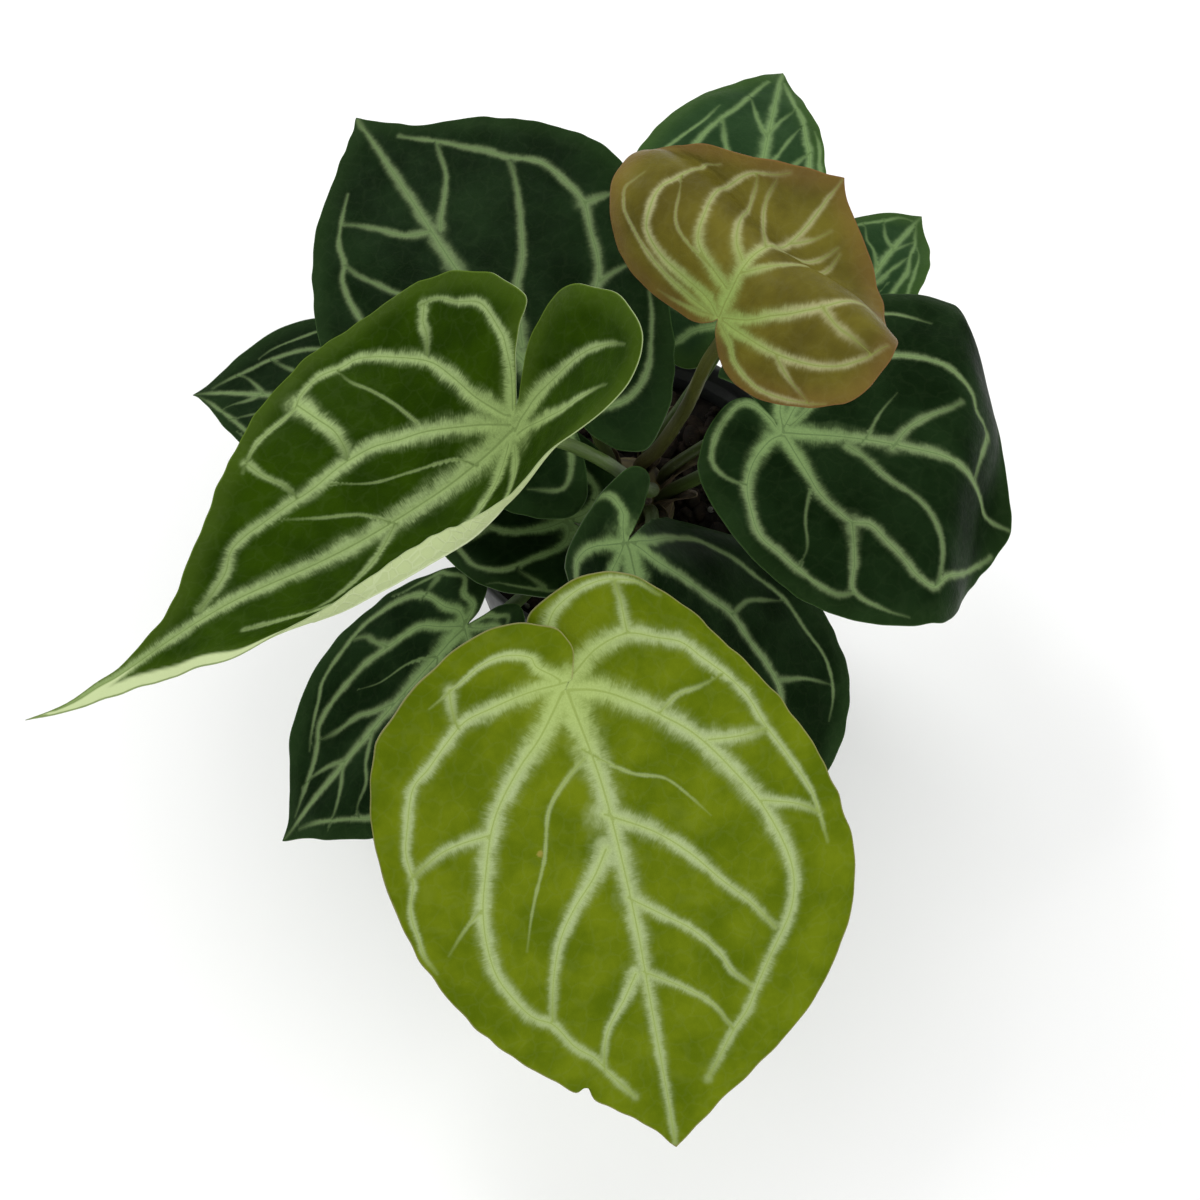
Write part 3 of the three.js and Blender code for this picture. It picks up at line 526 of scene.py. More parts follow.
def heart_mesh(leaf, veins):
    """Evenly scattered places on the heart with triangles between them, in heart units."""
    size = np.array([leaf["length"], leaf["width"] / 2])
    step = leaf["grain"]
    half = evenly(spline(HEART_HALF, 200) * size, step)
    ring = np.vstack([half, (half * (1, -1))[::-1][1:-1]])
    closed = np.vstack([ring, ring[:1]])
    lines = [evenly(line * (1, side) * size, step * VEIN_STEP) for _, _, line, side in veins]
    reach_x = np.arange(-0.25 * size[0], 1.02 * size[0], step)
    reach_y = np.arange(-1.02 * size[1], 1.02 * size[1], step * ROW_STEP)
    x, y = np.meshgrid(reach_x, reach_y)
    x = x + (np.arange(len(reach_y)) % 2)[:, None] * step / 2
    scatter = np.stack([x.ravel(), y.ravel()], 1)
    scatter = scatter[inside(scatter, ring)]
    on_vein = np.vstack(lines)
    on_vein = on_vein[inside(on_vein, ring)]
    for line in [closed] + lines:
        scatter = scatter[nearest(scatter, line)[0] > FROM_LINES * step]
    on_vein = on_vein[nearest(on_vein, closed)[0] > FROM_MARGIN * step]
    cell = np.round(on_vein / (APART * step)).astype(int)
    on_vein = on_vein[np.unique(cell, axis=0, return_index=True)[1]]
    points = np.vstack([ring, on_vein, scatter])
    border = list(range(len(ring)))[::-1]
    made = delaunay_2d_cdt([tuple(p) for p in points], [], [border], 1, 1e-7, False)
    places = np.array([tuple(p) for p in made[0]])
    faces = np.array(made[2])
    faces = faces[inside(places[faces].mean(1), ring)]
    return places / size, faces, ring / size


# %% What a point knows about the veins and the margin
# What stands for no band near (in band half widths) and for far away (in mm), and the half width
# in mm from which a vein is strong enough to shape the blade
NO_BAND, FAR, STRONG = 9.0, 90.0, 0.7


def vein_facts(leaf, veins, flat, lobe_side):
    """What each flat place knows about the veins.

    The distance to the nearest band in band half widths, the stroke coordinates there, how boldly
    that band is painted, the distance in mm to the nearest strong vein, and how strong that vein
    is. The lobes may lie over each other, so a place on a lobe (lobe_side is 1 or -1) takes no
    notice of the other half.
    """
    ratio = np.full(len(flat), NO_BAND)
    stroke = np.zeros((len(flat), 3))
    bold = np.zeros(len(flat))
    clear = np.full(len(flat), FAR)
    strength = np.zeros(len(flat))
    for number, (start, end, line, side) in enumerate(veins):
        u, v = stretched(leaf, line[:, 0], line[:, 1], np.full(len(line), side))
        d, along, length = nearest(flat, np.stack([u, v], 1))
        d = np.where((lobe_side == -side) & (number > 0), FAR, d)
        share = np.clip(along / length, 0, 1)
        half = 1.05 * (start + (end - start) * share) * (1 + 0.6 * np.exp(-along / 8))
        ink = leaf["paint"] * min(0.3 + 0.45 * start, 1) * (1 - 0.3 * smooth(share, 0.3, 1))
        fade = 0.8 if end < 0.6 or leaf["finish"] == "bronze" else 0.4
        ink = ink * (1 - fade * smooth(along, length - 12, length))
        r = d / half
        closer = r < ratio
        ratio[closer] = r[closer]
        bold[closer] = ink[closer]
        stroke[closer] = np.stack([along, d, np.full(len(d), 37.0 * number)], 1)[closer]
        if start > STRONG:
            nearer = d < clear
            clear[nearer] = d[nearer]
            strength[nearer] = np.minimum(half / 2.8, 1)[nearer]
    return ratio, stroke, bold, clear, strength


def to_margin(leaf, flat, ring, lobe_side):
    """Distance in mm to the blade's margin; a place on a lobe looks at its own half only."""
    best = np.full(len(flat), FAR)
    for side in (1.0, -1.0):
        half = ring[np.where(ring[:, 1] >= 0, 1.0, -1.0) == side]
        u, v = stretched(leaf, half[:, 0], np.abs(half[:, 1]), np.full(len(half), side))
        d = nearest(flat, np.stack([u, v], 1))[0]
        best = np.where(lobe_side == -side, best, np.minimum(best, d))
    return best


# %% [markdown]
# ## Two sides and a margin
# A real blade is about half a millimetre thick. Its upper side is softly quilted, with the veins
# in the low seams, and its underside carries the veins as round ribs. A flat card would show
# neither from below or from the side, so we build both faces from the same triangles, push them
# apart, and close the margin with a narrow strip that has a finish of its own.

# %% Noise, notes and meshes
def loose_noise(flat, seed, size):
    """A soft random height over the blade: a few sine waves in seeded directions."""
    rng = np.random.default_rng(seed)
    total = np.zeros(len(flat))
    for _ in range(9):
        way = rng.normal(0, 1, 2)
        way /= np.linalg.norm(way)
        total += np.sin(flat @ way / size * rng.uniform(0.7, 1.6) * 2 * np.pi + rng.uniform(0, 7))
    return total / 3


def put(mesh, name, values):
    """Note a number, or three, at each point of a mesh, for the shaders to read."""
    values = np.asarray(values, np.float32)
    kind, field = ("FLOAT_VECTOR", "vector") if values.ndim == 2 else ("FLOAT", "value")
    mesh.attributes.new(name, kind, "POINT").data.foreach_set(field, values.ravel())


def mesh_object(name, points, faces, materials, index=None):
    mesh = bpy.data.meshes.new(name)
    mesh.from_pydata([tuple(p) for p in points], [], [tuple(int(i) for i in f) for f in faces])
    for material in materials:
        mesh.materials.append(material)
    if index is not None:
        mesh.polygons.foreach_set("material_index", np.asarray(index, np.int32))
    mesh.polygons.foreach_set("use_smooth", np.ones(len(mesh.polygons), bool))
    mesh.update()
    thing = bpy.data.objects.new(name, mesh)
    bpy.context.scene.collection.objects.link(thing)
    return thing


# %% The uneven margin and the small tear
# In mm: how deep the tear is drawn in, how wide, and towards which place on the midrib
TEAR_DEPTH, TEAR_REACH, TEAR_TOWARDS = 3.2, 1.9, 60


def rippled(flat, margin, grown, number):
    """The same flat places with an uneven margin: near it, a soft noise pushes them about."""
    push = 0.24 * grown * (1 - smooth(margin, 0, 9))
    along, across = (loose_noise(flat, seed + number, 13) for seed in (300, 400))
    return flat[:, 0] + push * along, flat[:, 1] + push * across


def torn(leaf, along, across):
    """The same flat places, drawn in round the small tear in the margin, if there is one."""
    if "tear" not in leaf:
        return along, across
    u, v = leaf["tear"]
    pull = TEAR_DEPTH * np.exp(-(((along - u) ** 2 + (across - v) ** 2) / TEAR_REACH**2))
    reach = math.hypot(u - TEAR_TOWARDS, v)
    return along - pull * (u - TEAR_TOWARDS) / reach, across - pull * v / reach


# %% Build one blade
# In mm: how high the cells puff up, how deep the midrib's groove is, how far the ribs stand out
# below, how far the margin waves, and the blade's half thickness at the margin and what it gains
PUFF, GROOVE, RIB, WAVE, THIN, GAIN = 0.75, 0.16, 1.15, 0.45, 0.16, 0.2
# In mm: how far the pale, rolled margin of the fresh leaf reaches in, and where it has faded
ROLL_FULL, ROLL_GONE = 3.0, 4.4


def build_blade(leaf, number):
    rng = np.random.default_rng(100 + number)
    veins = leaf_veins(leaf, rng)
    heart, faces, ring = heart_mesh(leaf, veins)
    side = np.where(heart[:, 1] >= 0, 1.0, -1.0)
    flat = np.stack(stretched(leaf, heart[:, 0], np.abs(heart[:, 1]), side), 1)
    lobe_side = np.where(heart[:, 0] < 0, side, 0)
    margin = to_margin(leaf, flat, ring, lobe_side)
    ratio, stroke, bold, clear, strength = vein_facts(leaf, veins, flat, lobe_side)
    grown = (leaf["length"] / FRONT_LENGTH) ** 0.5
    along, across = torn(leaf, *rippled(flat, margin, grown, number))
    points, normal = bent_with_normal(leaf, along, across, side)
    puff = PUFF * grown * (1 - np.exp(-((clear / 4.5) ** 1.3))) * smooth(margin, 0, 6)
    puff += 0.10 * loose_noise(flat, 7 + number, 17) * smooth(margin, 0, 3)
    groove = -GROOVE * np.exp(-((clear / 0.5) ** 2)) * np.minimum(strength * 2, 1)
    wave = WAVE * grown * loose_noise(flat, 70 + number, 34) * (1 - smooth(margin, 0, 22))
    thin = THIN + GAIN * smooth(margin, 0, 5)
    rib = RIB * grown * strength * np.exp(-((clear / (0.9 * np.maximum(strength, 0.3))) ** 2))
    rib *= smooth(margin, 0, 4)
    upper = points + normal * (wave + thin + puff * 0.6 + groove - 0.15)[:, None]
    lower = points + normal * (wave - thin + puff * 0.35 - rib - 0.15)[:, None]
    count = len(points)
    rim = np.arange(len(ring))
    follow = np.roll(rim, -1)
    strip = np.stack([rim, follow, follow + count, rim + count], 1)
    (ax, ay), (bx, by) = ((flat[faces[:, k]] - flat[faces[:, 0]]).T for k in (1, 2))
    if (ax * by - ay * bx).sum() < 0:
        faces = faces[:, ::-1]
    everything = [*faces, *(faces[:, ::-1] + count), *strip]
    index = [0] * len(faces) + [1] * len(faces) + [2] * len(strip)
    blade = mesh_object(f"leaf_{leaf['name']}", np.vstack([upper, lower]) * MM, everything,
                        BLADE_FINISHES[leaf["finish"]], index)
    rolled = (1 - smooth(margin, ROLL_FULL, ROLL_GONE)) * smooth(heart[:, 0], 0.3, 0.5)
    notes = {
        "vein": ratio, "stroke": stroke, "bold": bold, "margin": margin,
        "reach": np.hypot(along, across),
        "scar": np.hypot(*(np.stack([along, across]) - np.reshape(leaf["scar"], (2, 1)))),
        "rolled": rolled * (side > 0) * (leaf["finish"] == "fresh"),
        "flat": np.column_stack([flat, np.full(count, 211.0 * number)]),
    }
    for name, values in notes.items():
        put(blade.data, name, np.concatenate([values, values]))
    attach(blade, "root")
    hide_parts(f"blade_{leaf['name']}")
    return blade


# %% [markdown]
# ## The finish of a blade
# The upper side is dark velvet with pale, feathered veins. The paint is made from what each point
# knows: the band is where the distance to the vein is small, and a noise that is stretched across
# the vein pushes that limit in and out, which gives the fine strokes at its edges. Under it lie a
# soft mottle, a faint net of small veins and a thin pale margin. The underside is paler and
# duller, with its ribs lighter still.

# %% Helpers for shader nodes
class Nodes:
    """Short words for the nodes that the finishes share."""

    def __init__(self, name):
        self.material = bpy.data.materials.new(name)
        self.material.use_nodes = True
        self.tree = self.material.node_tree
        self.tree.nodes.clear()
        self.shader = self.tree.nodes.new("ShaderNodeBsdfPrincipled")
        out = self.tree.nodes.new("ShaderNodeOutputMaterial")
        self.tree.links.new(self.shader.outputs["BSDF"], out.inputs["Surface"])

    def feed(self, socket, value):
        if hasattr(value, "is_linked"):
            self.tree.links.new(value, socket)
        elif value is not None:
            socket.default_value = value

    def noted(self, name, socket):
        node = self.tree.nodes.new("ShaderNodeAttribute")
        node.attribute_name = name
        return node.outputs[socket]

    def number(self, name):
        return self.noted(name, "Fac")

    def vector(self, name):
        return self.noted(name, "Vector")

    def place(self):
        return self.tree.nodes.new("ShaderNodeTexCoord").outputs["Object"]

    def math(self, operation, a, b=None, c=None):
        node = self.tree.nodes.new("ShaderNodeMath")
        node.operation = operation
        for socket, value in zip(node.inputs, (a, b, c)):
            self.feed(socket, value)
        return node.outputs[0]

    def ramp(self, value, low, high, to_low=0.0, to_high=1.0):
        """value from low to high, smoothly, becomes to_low to to_high."""
        node = self.tree.nodes.new("ShaderNodeMapRange")
        node.interpolation_type = "SMOOTHSTEP"
        self.feed(node.inputs["Value"], value)
        keys = ("From Min", "From Max", "To Min", "To Max")
        for key, limit in zip(keys, (low, high, to_low, to_high)):
            node.inputs[key].default_value = limit
        return node.outputs["Result"]

    def scaled(self, vector, x, y, z):
        node = self.tree.nodes.new("ShaderNodeMapping")
        self.feed(node.inputs["Vector"], vector)
        node.inputs["Scale"].default_value = (x, y, z)
        return node.outputs["Vector"]

    def noise(self, vector, scale, detail=3.0, rough=0.55):
        node = self.tree.nodes.new("ShaderNodeTexNoise")
        self.feed(node.inputs["Vector"], vector)
        node.inputs["Scale"].default_value = scale
        node.inputs["Detail"].default_value = detail
        node.inputs["Roughness"].default_value = rough
        return node.outputs["Fac"]

    def around(self, noise, amount):
        """A noise moved to swing round zero, up and down by about half the amount."""
        return self.math("MULTIPLY_ADD", noise, amount, -0.5 * amount)

    def swirled(self, vector, scale, amount):
        """The same place, pushed about by a soft noise."""
        node = self.tree.nodes.new("ShaderNodeTexNoise")
        self.feed(node.inputs["Vector"], vector)
        node.inputs["Scale"].default_value = scale
        push = self.tree.nodes.new("ShaderNodeVectorMath")
        push.operation = "MULTIPLY_ADD"
        self.feed(push.inputs[0], node.outputs["Color"])
        push.inputs[1].default_value = (amount, amount, 0)
        self.feed(push.inputs[2], vector)
        return push.outputs[0]

    def net(self, vector, scale):
        """How far a place is from the edge of its cell."""
        node = self.tree.nodes.new("ShaderNodeTexVoronoi")
        node.feature = "DISTANCE_TO_EDGE"
        self.feed(node.inputs["Vector"], vector)
        node.inputs["Scale"].default_value = scale
        return node.outputs["Distance"]

    def mix(self, amount, a, b):
        node = self.tree.nodes.new("ShaderNodeMix")
        node.data_type = "RGBA"
        self.feed(node.inputs["Factor"], amount)
        for key, value in (("A", a), ("B", b)):
            socket = [s for s in node.inputs if s.name == key and s.type == "RGBA"][0]
            self.feed(socket, (*value, 1) if isinstance(value, tuple) else value)
        return [s for s in node.outputs if s.type == "RGBA"][0]

    def bump(self, height, distance, strength=1.0):
        node = self.tree.nodes.new("ShaderNodeBump")
        self.feed(node.inputs["Height"], height)
        node.inputs["Distance"].default_value = distance
        node.inputs["Strength"].default_value = strength
        self.tree.links.new(node.outputs["Normal"], self.shader.inputs["Normal"])

    def finished(self, colour, roughness, gloss=0.5):
        """Feed the shader and hand over the material; a gloss of 0.5 is the shader's own."""
        self.feed(self.shader.inputs["Base Color"], colour)
        self.feed(self.shader.inputs["Roughness"], roughness)
        self.shader.inputs["Specular IOR Level"].default_value = gloss
        return self.material


# %% The upper side, the underside and the margin
SCAR, ROLLED = (0.33, 0.25, 0.06), (0.46, 0.54, 0.28)


def toned(colour, share):
    return tuple(share * c for c in colour)


def upper_side(name, deep, vivid, vein, star, rim,
               feather=0.5, net=0.012, shine=0.01, blush=0.0):
    """Velvet from deep to vivid, with pale veins, a paler star round the stalk, and a rim.

    feather is how ragged the bands are, net how clear the small veins are, shine how glossy the
    velvet is, and blush how far the rim's colour reaches in.
    """
    n = Nodes(name)
    flat, stroke, margin = n.vector("flat"), n.vector("stroke"), n.number("margin")
    cloud = n.noise(flat, 0.5, 3, 0.6)
    speckle = n.noise(flat, 1.6, 2, 0.6)
    # the veins' colour, which turns to the star's near the stalk and along a band's middle line
    vein = n.mix(n.ramp(n.number("reach"), 4, 34), star, vein)
    vein = n.mix(n.ramp(n.number("vein"), 0.1, 0.75, 0.55, 0), vein, star)
    # the cells between the veins: a mottle, the blush near the rim, the net of small veins
    base = n.mix(n.ramp(n.noise(flat, 0.05, 4, 0.6), 0.3, 0.72), deep, vivid)
    base = n.mix(n.ramp(margin, 0, 9, blush, 0), base, rim)
    fine = n.net(n.swirled(flat, 0.25, 5), 0.17)
    base = n.mix(n.ramp(fine, 0.01, 0.09, net, 0), base, vein)
    # the bands, whose edges are pushed in and out by strokes and by soft clouds
    streak = n.around(n.noise(n.scaled(stroke, 1.0, 0.12, 1.0), 2.1, 3, 0.7), 1.5 * feather)
    strand = n.around(n.noise(n.scaled(stroke, 1.0, 0.08, 1.0), 5.0, 2, 0.6), 1.1 * feather)
    broad = n.math("ADD", n.around(cloud, 0.9), n.around(n.noise(flat, 0.16, 2, 0.5), 1.5))
    push = n.math("ADD", n.math("ADD", streak, strand), broad)
    ratio = n.math("SUBTRACT", n.number("vein"), push)
    bold = n.number("bold")
    halo = n.math("MULTIPLY", n.ramp(ratio, 0.6, 2.4, 0.26, 0), bold)
    base = n.mix(halo, base, vein)
    body = n.math("MULTIPLY", n.ramp(ratio, 0.2, 1.65, 1, 0), bold)
    body = n.math("MULTIPLY", body, n.ramp(speckle, 0.3, 0.75, 0.95, 0.75))
    base = n.mix(body, base, vein)
    # the thin darker line in a band's middle, partly the vein's own colour and partly painted shade
    # of the groove there, then the scar, the rolled margin and the rim
    core = tuple(0.4 * a + 0.6 * b for a, b in zip(star, vivid))
    base = n.mix(n.ramp(n.number("vein"), 0.04, 0.15, 0.6, 0), base, core)
    scar = n.math("ADD", n.number("scar"), n.around(cloud, 2.5))
    base = n.mix(n.ramp(scar, 0.3, 1.5, 0.6, 0), base, SCAR)
    base = n.mix(n.number("rolled"), base, ROLLED)
    base = n.mix(n.ramp(margin, 0.1, 0.5, 0.75, 0), base, rim)
    n.bump(n.math("ADD", speckle, n.math("MULTIPLY", cloud, 1.5)), 0.00025, 0.5)
    return n.finished(base, n.ramp(cloud, 0.3, 0.7, 0.36, 0.46), shine)


def underside(name, body, vein):
    n = Nodes(name)
    flat = n.vector("flat")
    mottle = n.ramp(n.noise(flat, 0.06, 4), 0.3, 0.7, 0, 0.5)
    base = n.mix(mottle, body, toned(body, 0.8))
    fine = n.net(flat, 0.2)
    base = n.mix(n.ramp(fine, 0.0, 0.08, 0.3, 0), base, vein)
    base = n.mix(n.ramp(n.number("vein"), 0.3, 1.0, 0.9, 0), base, vein)
    n.bump(n.ramp(fine, 0, 0.15, 1, 0), 0.0003, 0.6)
    return n.finished(base, n.ramp(n.noise(flat, 0.5), 0.3, 0.7, 0.5, 0.62), 0.15)


def edge_finish(name, colour):
    n = Nodes(name)
    shade = n.mix(n.noise(n.vector("flat"), 0.3), colour, toned(colour, 0.7))
    return n.finished(shade, 0.55)


# %% The colours of the blades
# For each kind of blade: its deep and vivid green, vein, star and rim on the upper side, its body
# and vein on the underside, its edge, and how its velvet differs from the plain one
BLADE_COLOURS = {
    "lime": (
        [(0.074, 0.113, 0.002), (0.13, 0.174, 0.005), (0.37, 0.45, 0.22), (0.36, 0.46, 0.15),
         (0.27, 0.26, 0.1)],
        [(0.3, 0.38, 0.11), (0.45, 0.52, 0.22)], (0.32, 0.3, 0.13), dict(feather=0.7, net=0.02)),
    "fresh": (
        [(0.011, 0.028, 0.0002), (0.022, 0.05, 0.0005), (0.31, 0.41, 0.17), (0.26, 0.36, 0.12),
         (0.1, 0.16, 0.02)],
        [(0.42, 0.5, 0.24), (0.55, 0.62, 0.38)], (0.3, 0.38, 0.16),
        dict(feather=0.9, net=0.014, blush=0.25)),
    "deep": (
        [(0.003, 0.0095, 0.002), (0.0085, 0.0215, 0.006), (0.18, 0.25, 0.11), (0.21, 0.32, 0.12),
         (0.035, 0.075, 0.02)],
        [(0.12, 0.2, 0.09), (0.22, 0.32, 0.15)], (0.07, 0.11, 0.045), dict(blush=0.2)),
    "mid": (
        [(0.013, 0.034, 0.011), (0.022, 0.052, 0.017), (0.16, 0.25, 0.1), (0.2, 0.31, 0.11),
         (0.06, 0.12, 0.02)],
        [(0.12, 0.2, 0.09), (0.22, 0.32, 0.15)], (0.09, 0.16, 0.05), dict(blush=0.35)),
    "bronze": (
        [(0.074, 0.061, 0.008), (0.13, 0.112, 0.014), (0.37, 0.36, 0.18), (0.27, 0.37, 0.1),
         (0.19, 0.095, 0.033)],
        [(0.3, 0.24, 0.1), (0.45, 0.42, 0.2)], (0.34, 0.18, 0.1),
        dict(feather=0.7, net=0.02, shine=0.04, blush=0.34)),
}
BLADE_FINISHES = {
    kind: [upper_side(f"{kind}_upper", *upper, **velvet), underside(f"{kind}_under", *under),
           edge_finish(f"{kind}_edge", edge)]
    for kind, (upper, under, edge, velvet) in BLADE_COLOURS.items()
}
print("blade finishes:", ", ".join(BLADE_FINISHES))

# %% Grow the eleven blades
for number, leaf in enumerate(LEAVES.values()):
    blade = build_blade(leaf, number)
    print(blade.name, len(blade.data.polygons), "faces")

# %% [markdown]
# ## The stalks
# Each stalk leaves its hole in the crown, arches past its neighbours and meets its blade from
# below, with a slightly swollen knee just under it. A tube with many rings would do for the shape.
# We let the same smooth curve as in the CAD source carry it, and paint it along its length: darker
# and browner at the foot, fresh at the knee, with fine lengthwise streaks.

# %% Rings of points and the bands between them
def angles(count):
    """Evenly spaced angles, once round."""
    return np.linspace(0, 2 * np.pi, count, endpoint=False)


def bands(rings, sides, start=0, closed=True):
    """The quads between rings of points that follow one another, from point number start on."""
    faces = []
    for ring in range(rings - 1):
        for side in range(sides if closed else sides - 1):
            a, b = (start + ring * sides + k for k in (side, (side + 1) % sides))
            faces.append((a, b, b + sides, a + sides))
    return faces


# %% The line and the tube of a stalk
CROWN_TOP, OUTER_RING, INNER_RING, OUTER_LEAN, INNER_LEAN, SINK = 110, 12.5, 4.8, 20, 6, 7
FOOT_RADIUS, TOP_RADIUS, KNEE_RADIUS, KNEE_LENGTH = 2.5, 1.9, 2.3, 12
STALK_STEP, STALK_SIDES, CURVE_STEPS = 1.6, 20, 24


def stalk_points(leaf):
    outer = leaf["ring"] == "outer"
    radius, lean = (OUTER_RING, OUTER_LEAN) if outer else (INNER_RING, INNER_LEAN)
    angle, lean = math.radians(leaf["foot"]), math.radians(lean)
    round_it = np.array([math.cos(angle), math.sin(angle), 0])
    place = radius * round_it + np.array([0, 0, CROWN_TOP - (4 if outer else 1)])
    way = math.sin(lean) * round_it + np.array([0, 0, math.cos(lean)])
    one = np.ones(1)
    joint, normal = bent_with_normal(leaf, 1.5 * one, 0 * one, one)
    top = joint[0] - normal[0] * 0.45
    return np.array([place - way * SINK, place, place + way * 8, *leaf["via"],
                     top - normal[0] * 7, top])


def eased_curve(points, count):
    """A curve without loops through points far apart and close together (centripetal)."""
    p = np.vstack([2 * points[0] - points[1], points, 2 * points[-1] - points[-2]])
    made = []
    for i in range(1, len(p) - 2):
        a, b, c, d = p[i - 1:i + 3]
        g0, g1, g2 = (math.sqrt(max(np.linalg.norm(q), 1e-9)) for q in (b - a, c - b, d - c))
        m1 = ((b - a) / g0 - (c - a) / (g0 + g1) + (c - b) / g1) * g1
        m2 = ((c - b) / g1 - (d - b) / (g1 + g2) + (d - c) / g2) * g1
        t = np.linspace(0, 1, count, endpoint=i == len(p) - 3)[:, None]
        bulge, turn = 3 * c - 3 * b - 2 * m1 - m2, 2 * b - 2 * c + m1 + m2
        made.append(b + m1 * t + bulge * t**2 + turn * t**3)
    return np.vstack(made)


def tube(line, radii, sides):
    """Rings of points round a line, carried along it without twisting, with closed ends."""
    tangent = np.gradient(line, axis=0)
    tangent /= np.linalg.norm(tangent, axis=1)[:, None]
    across = np.cross(tangent[0], (0, 1, 0.3))
    turn = angles(sides)[:, None]
    rings = []
    for point, way, radius in zip(line, tangent, radii):
        across = across - way * (across @ way)
        across /= np.linalg.norm(across)
        other = np.cross(way, across)
        rings.append(point + radius * (np.cos(turn) * across + np.sin(turn) * other))
    last = sides * (len(line) - 1)
    ends = [tuple(range(sides))[::-1], tuple(range(last, last + sides))]
    return np.vstack(rings), bands(len(line), sides) + ends


# %% The finish of the stalks
def stalk_finish(name, foot, middle, knee):
    n = Nodes(name)
    share = n.number("share")
    base = n.mix(n.ramp(share, 0.05, 0.5), foot, middle)
    base = n.mix(n.ramp(share, 0.82, 0.97), base, knee)
    streak = n.noise(n.scaled(n.vector("skin"), 1, 1, 0.08), 1.3, 4, 0.65)
    base = n.mix(n.ramp(streak, 0.4, 0.75, 0, 0.45), base, toned(middle, 0.55))
    fleck = n.noise(n.vector("skin"), 1.6, 2, 0.5)
    base = n.mix(n.ramp(fleck, 0.62, 0.75, 0, 0.35), base, knee)
    n.bump(streak, 0.0002, 0.6)
    return n.finished(base, n.ramp(streak, 0.3, 0.7, 0.38, 0.52), 0.2)


GREEN_STALK = stalk_finish("stalk_green", (0.04, 0.04, 0.012), (0.05, 0.085, 0.016),
                           (0.16, 0.23, 0.07))
BRONZE_STALK = stalk_finish("stalk_bronze", (0.04, 0.032, 0.01), (0.065, 0.07, 0.013),
                            (0.22, 0.24, 0.07))

# %% Make the stalks
for number, leaf in enumerate(LEAVES.values()):
    line = evenly(eased_curve(stalk_points(leaf), CURVE_STEPS), STALK_STEP)
    along = np.linspace(0, 1, len(line))
    length = STALK_STEP * len(line)
    reach = along * length
    knee = smooth(reach, length - 1.6 * KNEE_LENGTH, length - 0.5 * KNEE_LENGTH)
    radii = FOOT_RADIUS + (TOP_RADIUS - FOOT_RADIUS) * along
    radii = leaf["size"] * (radii + (KNEE_RADIUS - radii) * knee)
    radii *= 1 - 0.35 * smooth(reach, length - 2.5, length)
    radii *= 1 + 0.02 * np.sin(reach * 0.31 + number)
    points, faces = tube(line, radii, STALK_SIDES)
    finish = BRONZE_STALK if leaf["finish"] == "bronze" else GREEN_STALK
    stalk = mesh_object(f"petiole_{leaf['name']}", points * MM, faces, [finish])
    put(stalk.data, "share", np.repeat(along, STALK_SIDES))
    turn = np.tile(angles(STALK_SIDES), len(line))
    put(stalk.data, "skin", np.column_stack(
        [2.4 * np.cos(turn), 2.4 * np.sin(turn), np.repeat(reach, STALK_SIDES) + 90 * number]))
    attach(stalk, "root")
    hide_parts(f"stalk_{leaf['name']}")
print("stalks made")

# %% [markdown]
# ## The crown
# All stalks rise from a short stem. What one sees of it are the leaf bases and the dry, pointed
# sheaths that once wrapped each new leaf. We start from a turned core like the CAD one, roughen it
# into overlapping leaf scars, and lean a thin papery sheath against the foot of each stalk.

# %% The turned core
def turned_mesh(profile, sides):
    """A closed turned body from (radius, height) pairs that start and end on the axis."""
    turn = angles(sides)
    points = [(0, 0, profile[0][1])]
    for radius, height in profile[1:-1]:
        points += [(radius * math.cos(t), radius * math.sin(t), height) for t in turn]
    points.append((0, 0, profile[-1][1]))
    last, top = 1 + (len(profile) - 3) * sides, len(points) - 1
    faces = [(0, 1 + (k + 1) % sides, 1 + k) for k in range(sides)]
    faces += bands(len(profile) - 2, sides, 1)
    faces += [(last + k, last + (k + 1) % sides, top) for k in range(sides)]
    return np.array(points, float), faces


CROWN_FOOT, CROWN_RADIUS, CROWN_SIDES = 82, 17, 72
# The crown's outline, in shares of its radius and of its height
CROWN_SHAPE = [(0, 0), (0.8, 0), (0.9, 0.16), (0.97, 0.3), (1, 0.42), (1, 0.55), (0.97, 0.68),
               (0.92, 0.78), (0.82, 0.87), (0.66, 0.94), (0.4, 0.985), (0.15, 1), (0, 1)]
profile = [(r * CROWN_RADIUS, CROWN_FOOT + h * (CROWN_TOP - CROWN_FOOT)) for r, h in CROWN_SHAPE]
points, faces = turned_mesh(profile, CROWN_SIDES)
turn = np.arctan2(points[:, 1], points[:, 0])
height = points[:, 2]
scars = np.sin(height * 1.7 + 1.5 * np.sin(turn * 3)) * 0.35 + 0.3 * np.sin(turn * 11 + height)
reach = np.hypot(points[:, 0], points[:, 1])
points[:, :2] *= (1 + np.where(reach > 2, scars / np.maximum(reach, 2), 0) - 0.02)[:, None]


def crown_finish():
    n = Nodes("crown_skin")
    place = n.place()
    rings = n.noise(n.scaled(place, 60, 60, 420), 1.0, 4, 0.6)
    base = n.mix(n.ramp(rings, 0.35, 0.65), (0.035, 0.022, 0.01), (0.13, 0.1, 0.035))
    base = n.mix(n.ramp(n.noise(place, 160), 0.5, 0.75, 0, 0.6), base, (0.07, 0.1, 0.025))
    n.bump(rings, 0.0008)
    return n.finished(base, 0.8)


crown = mesh_object("crown_stem", points * MM, faces, [crown_finish()])
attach(crown, "root")
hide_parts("crown")
print("crown made,", len(faces), "faces")


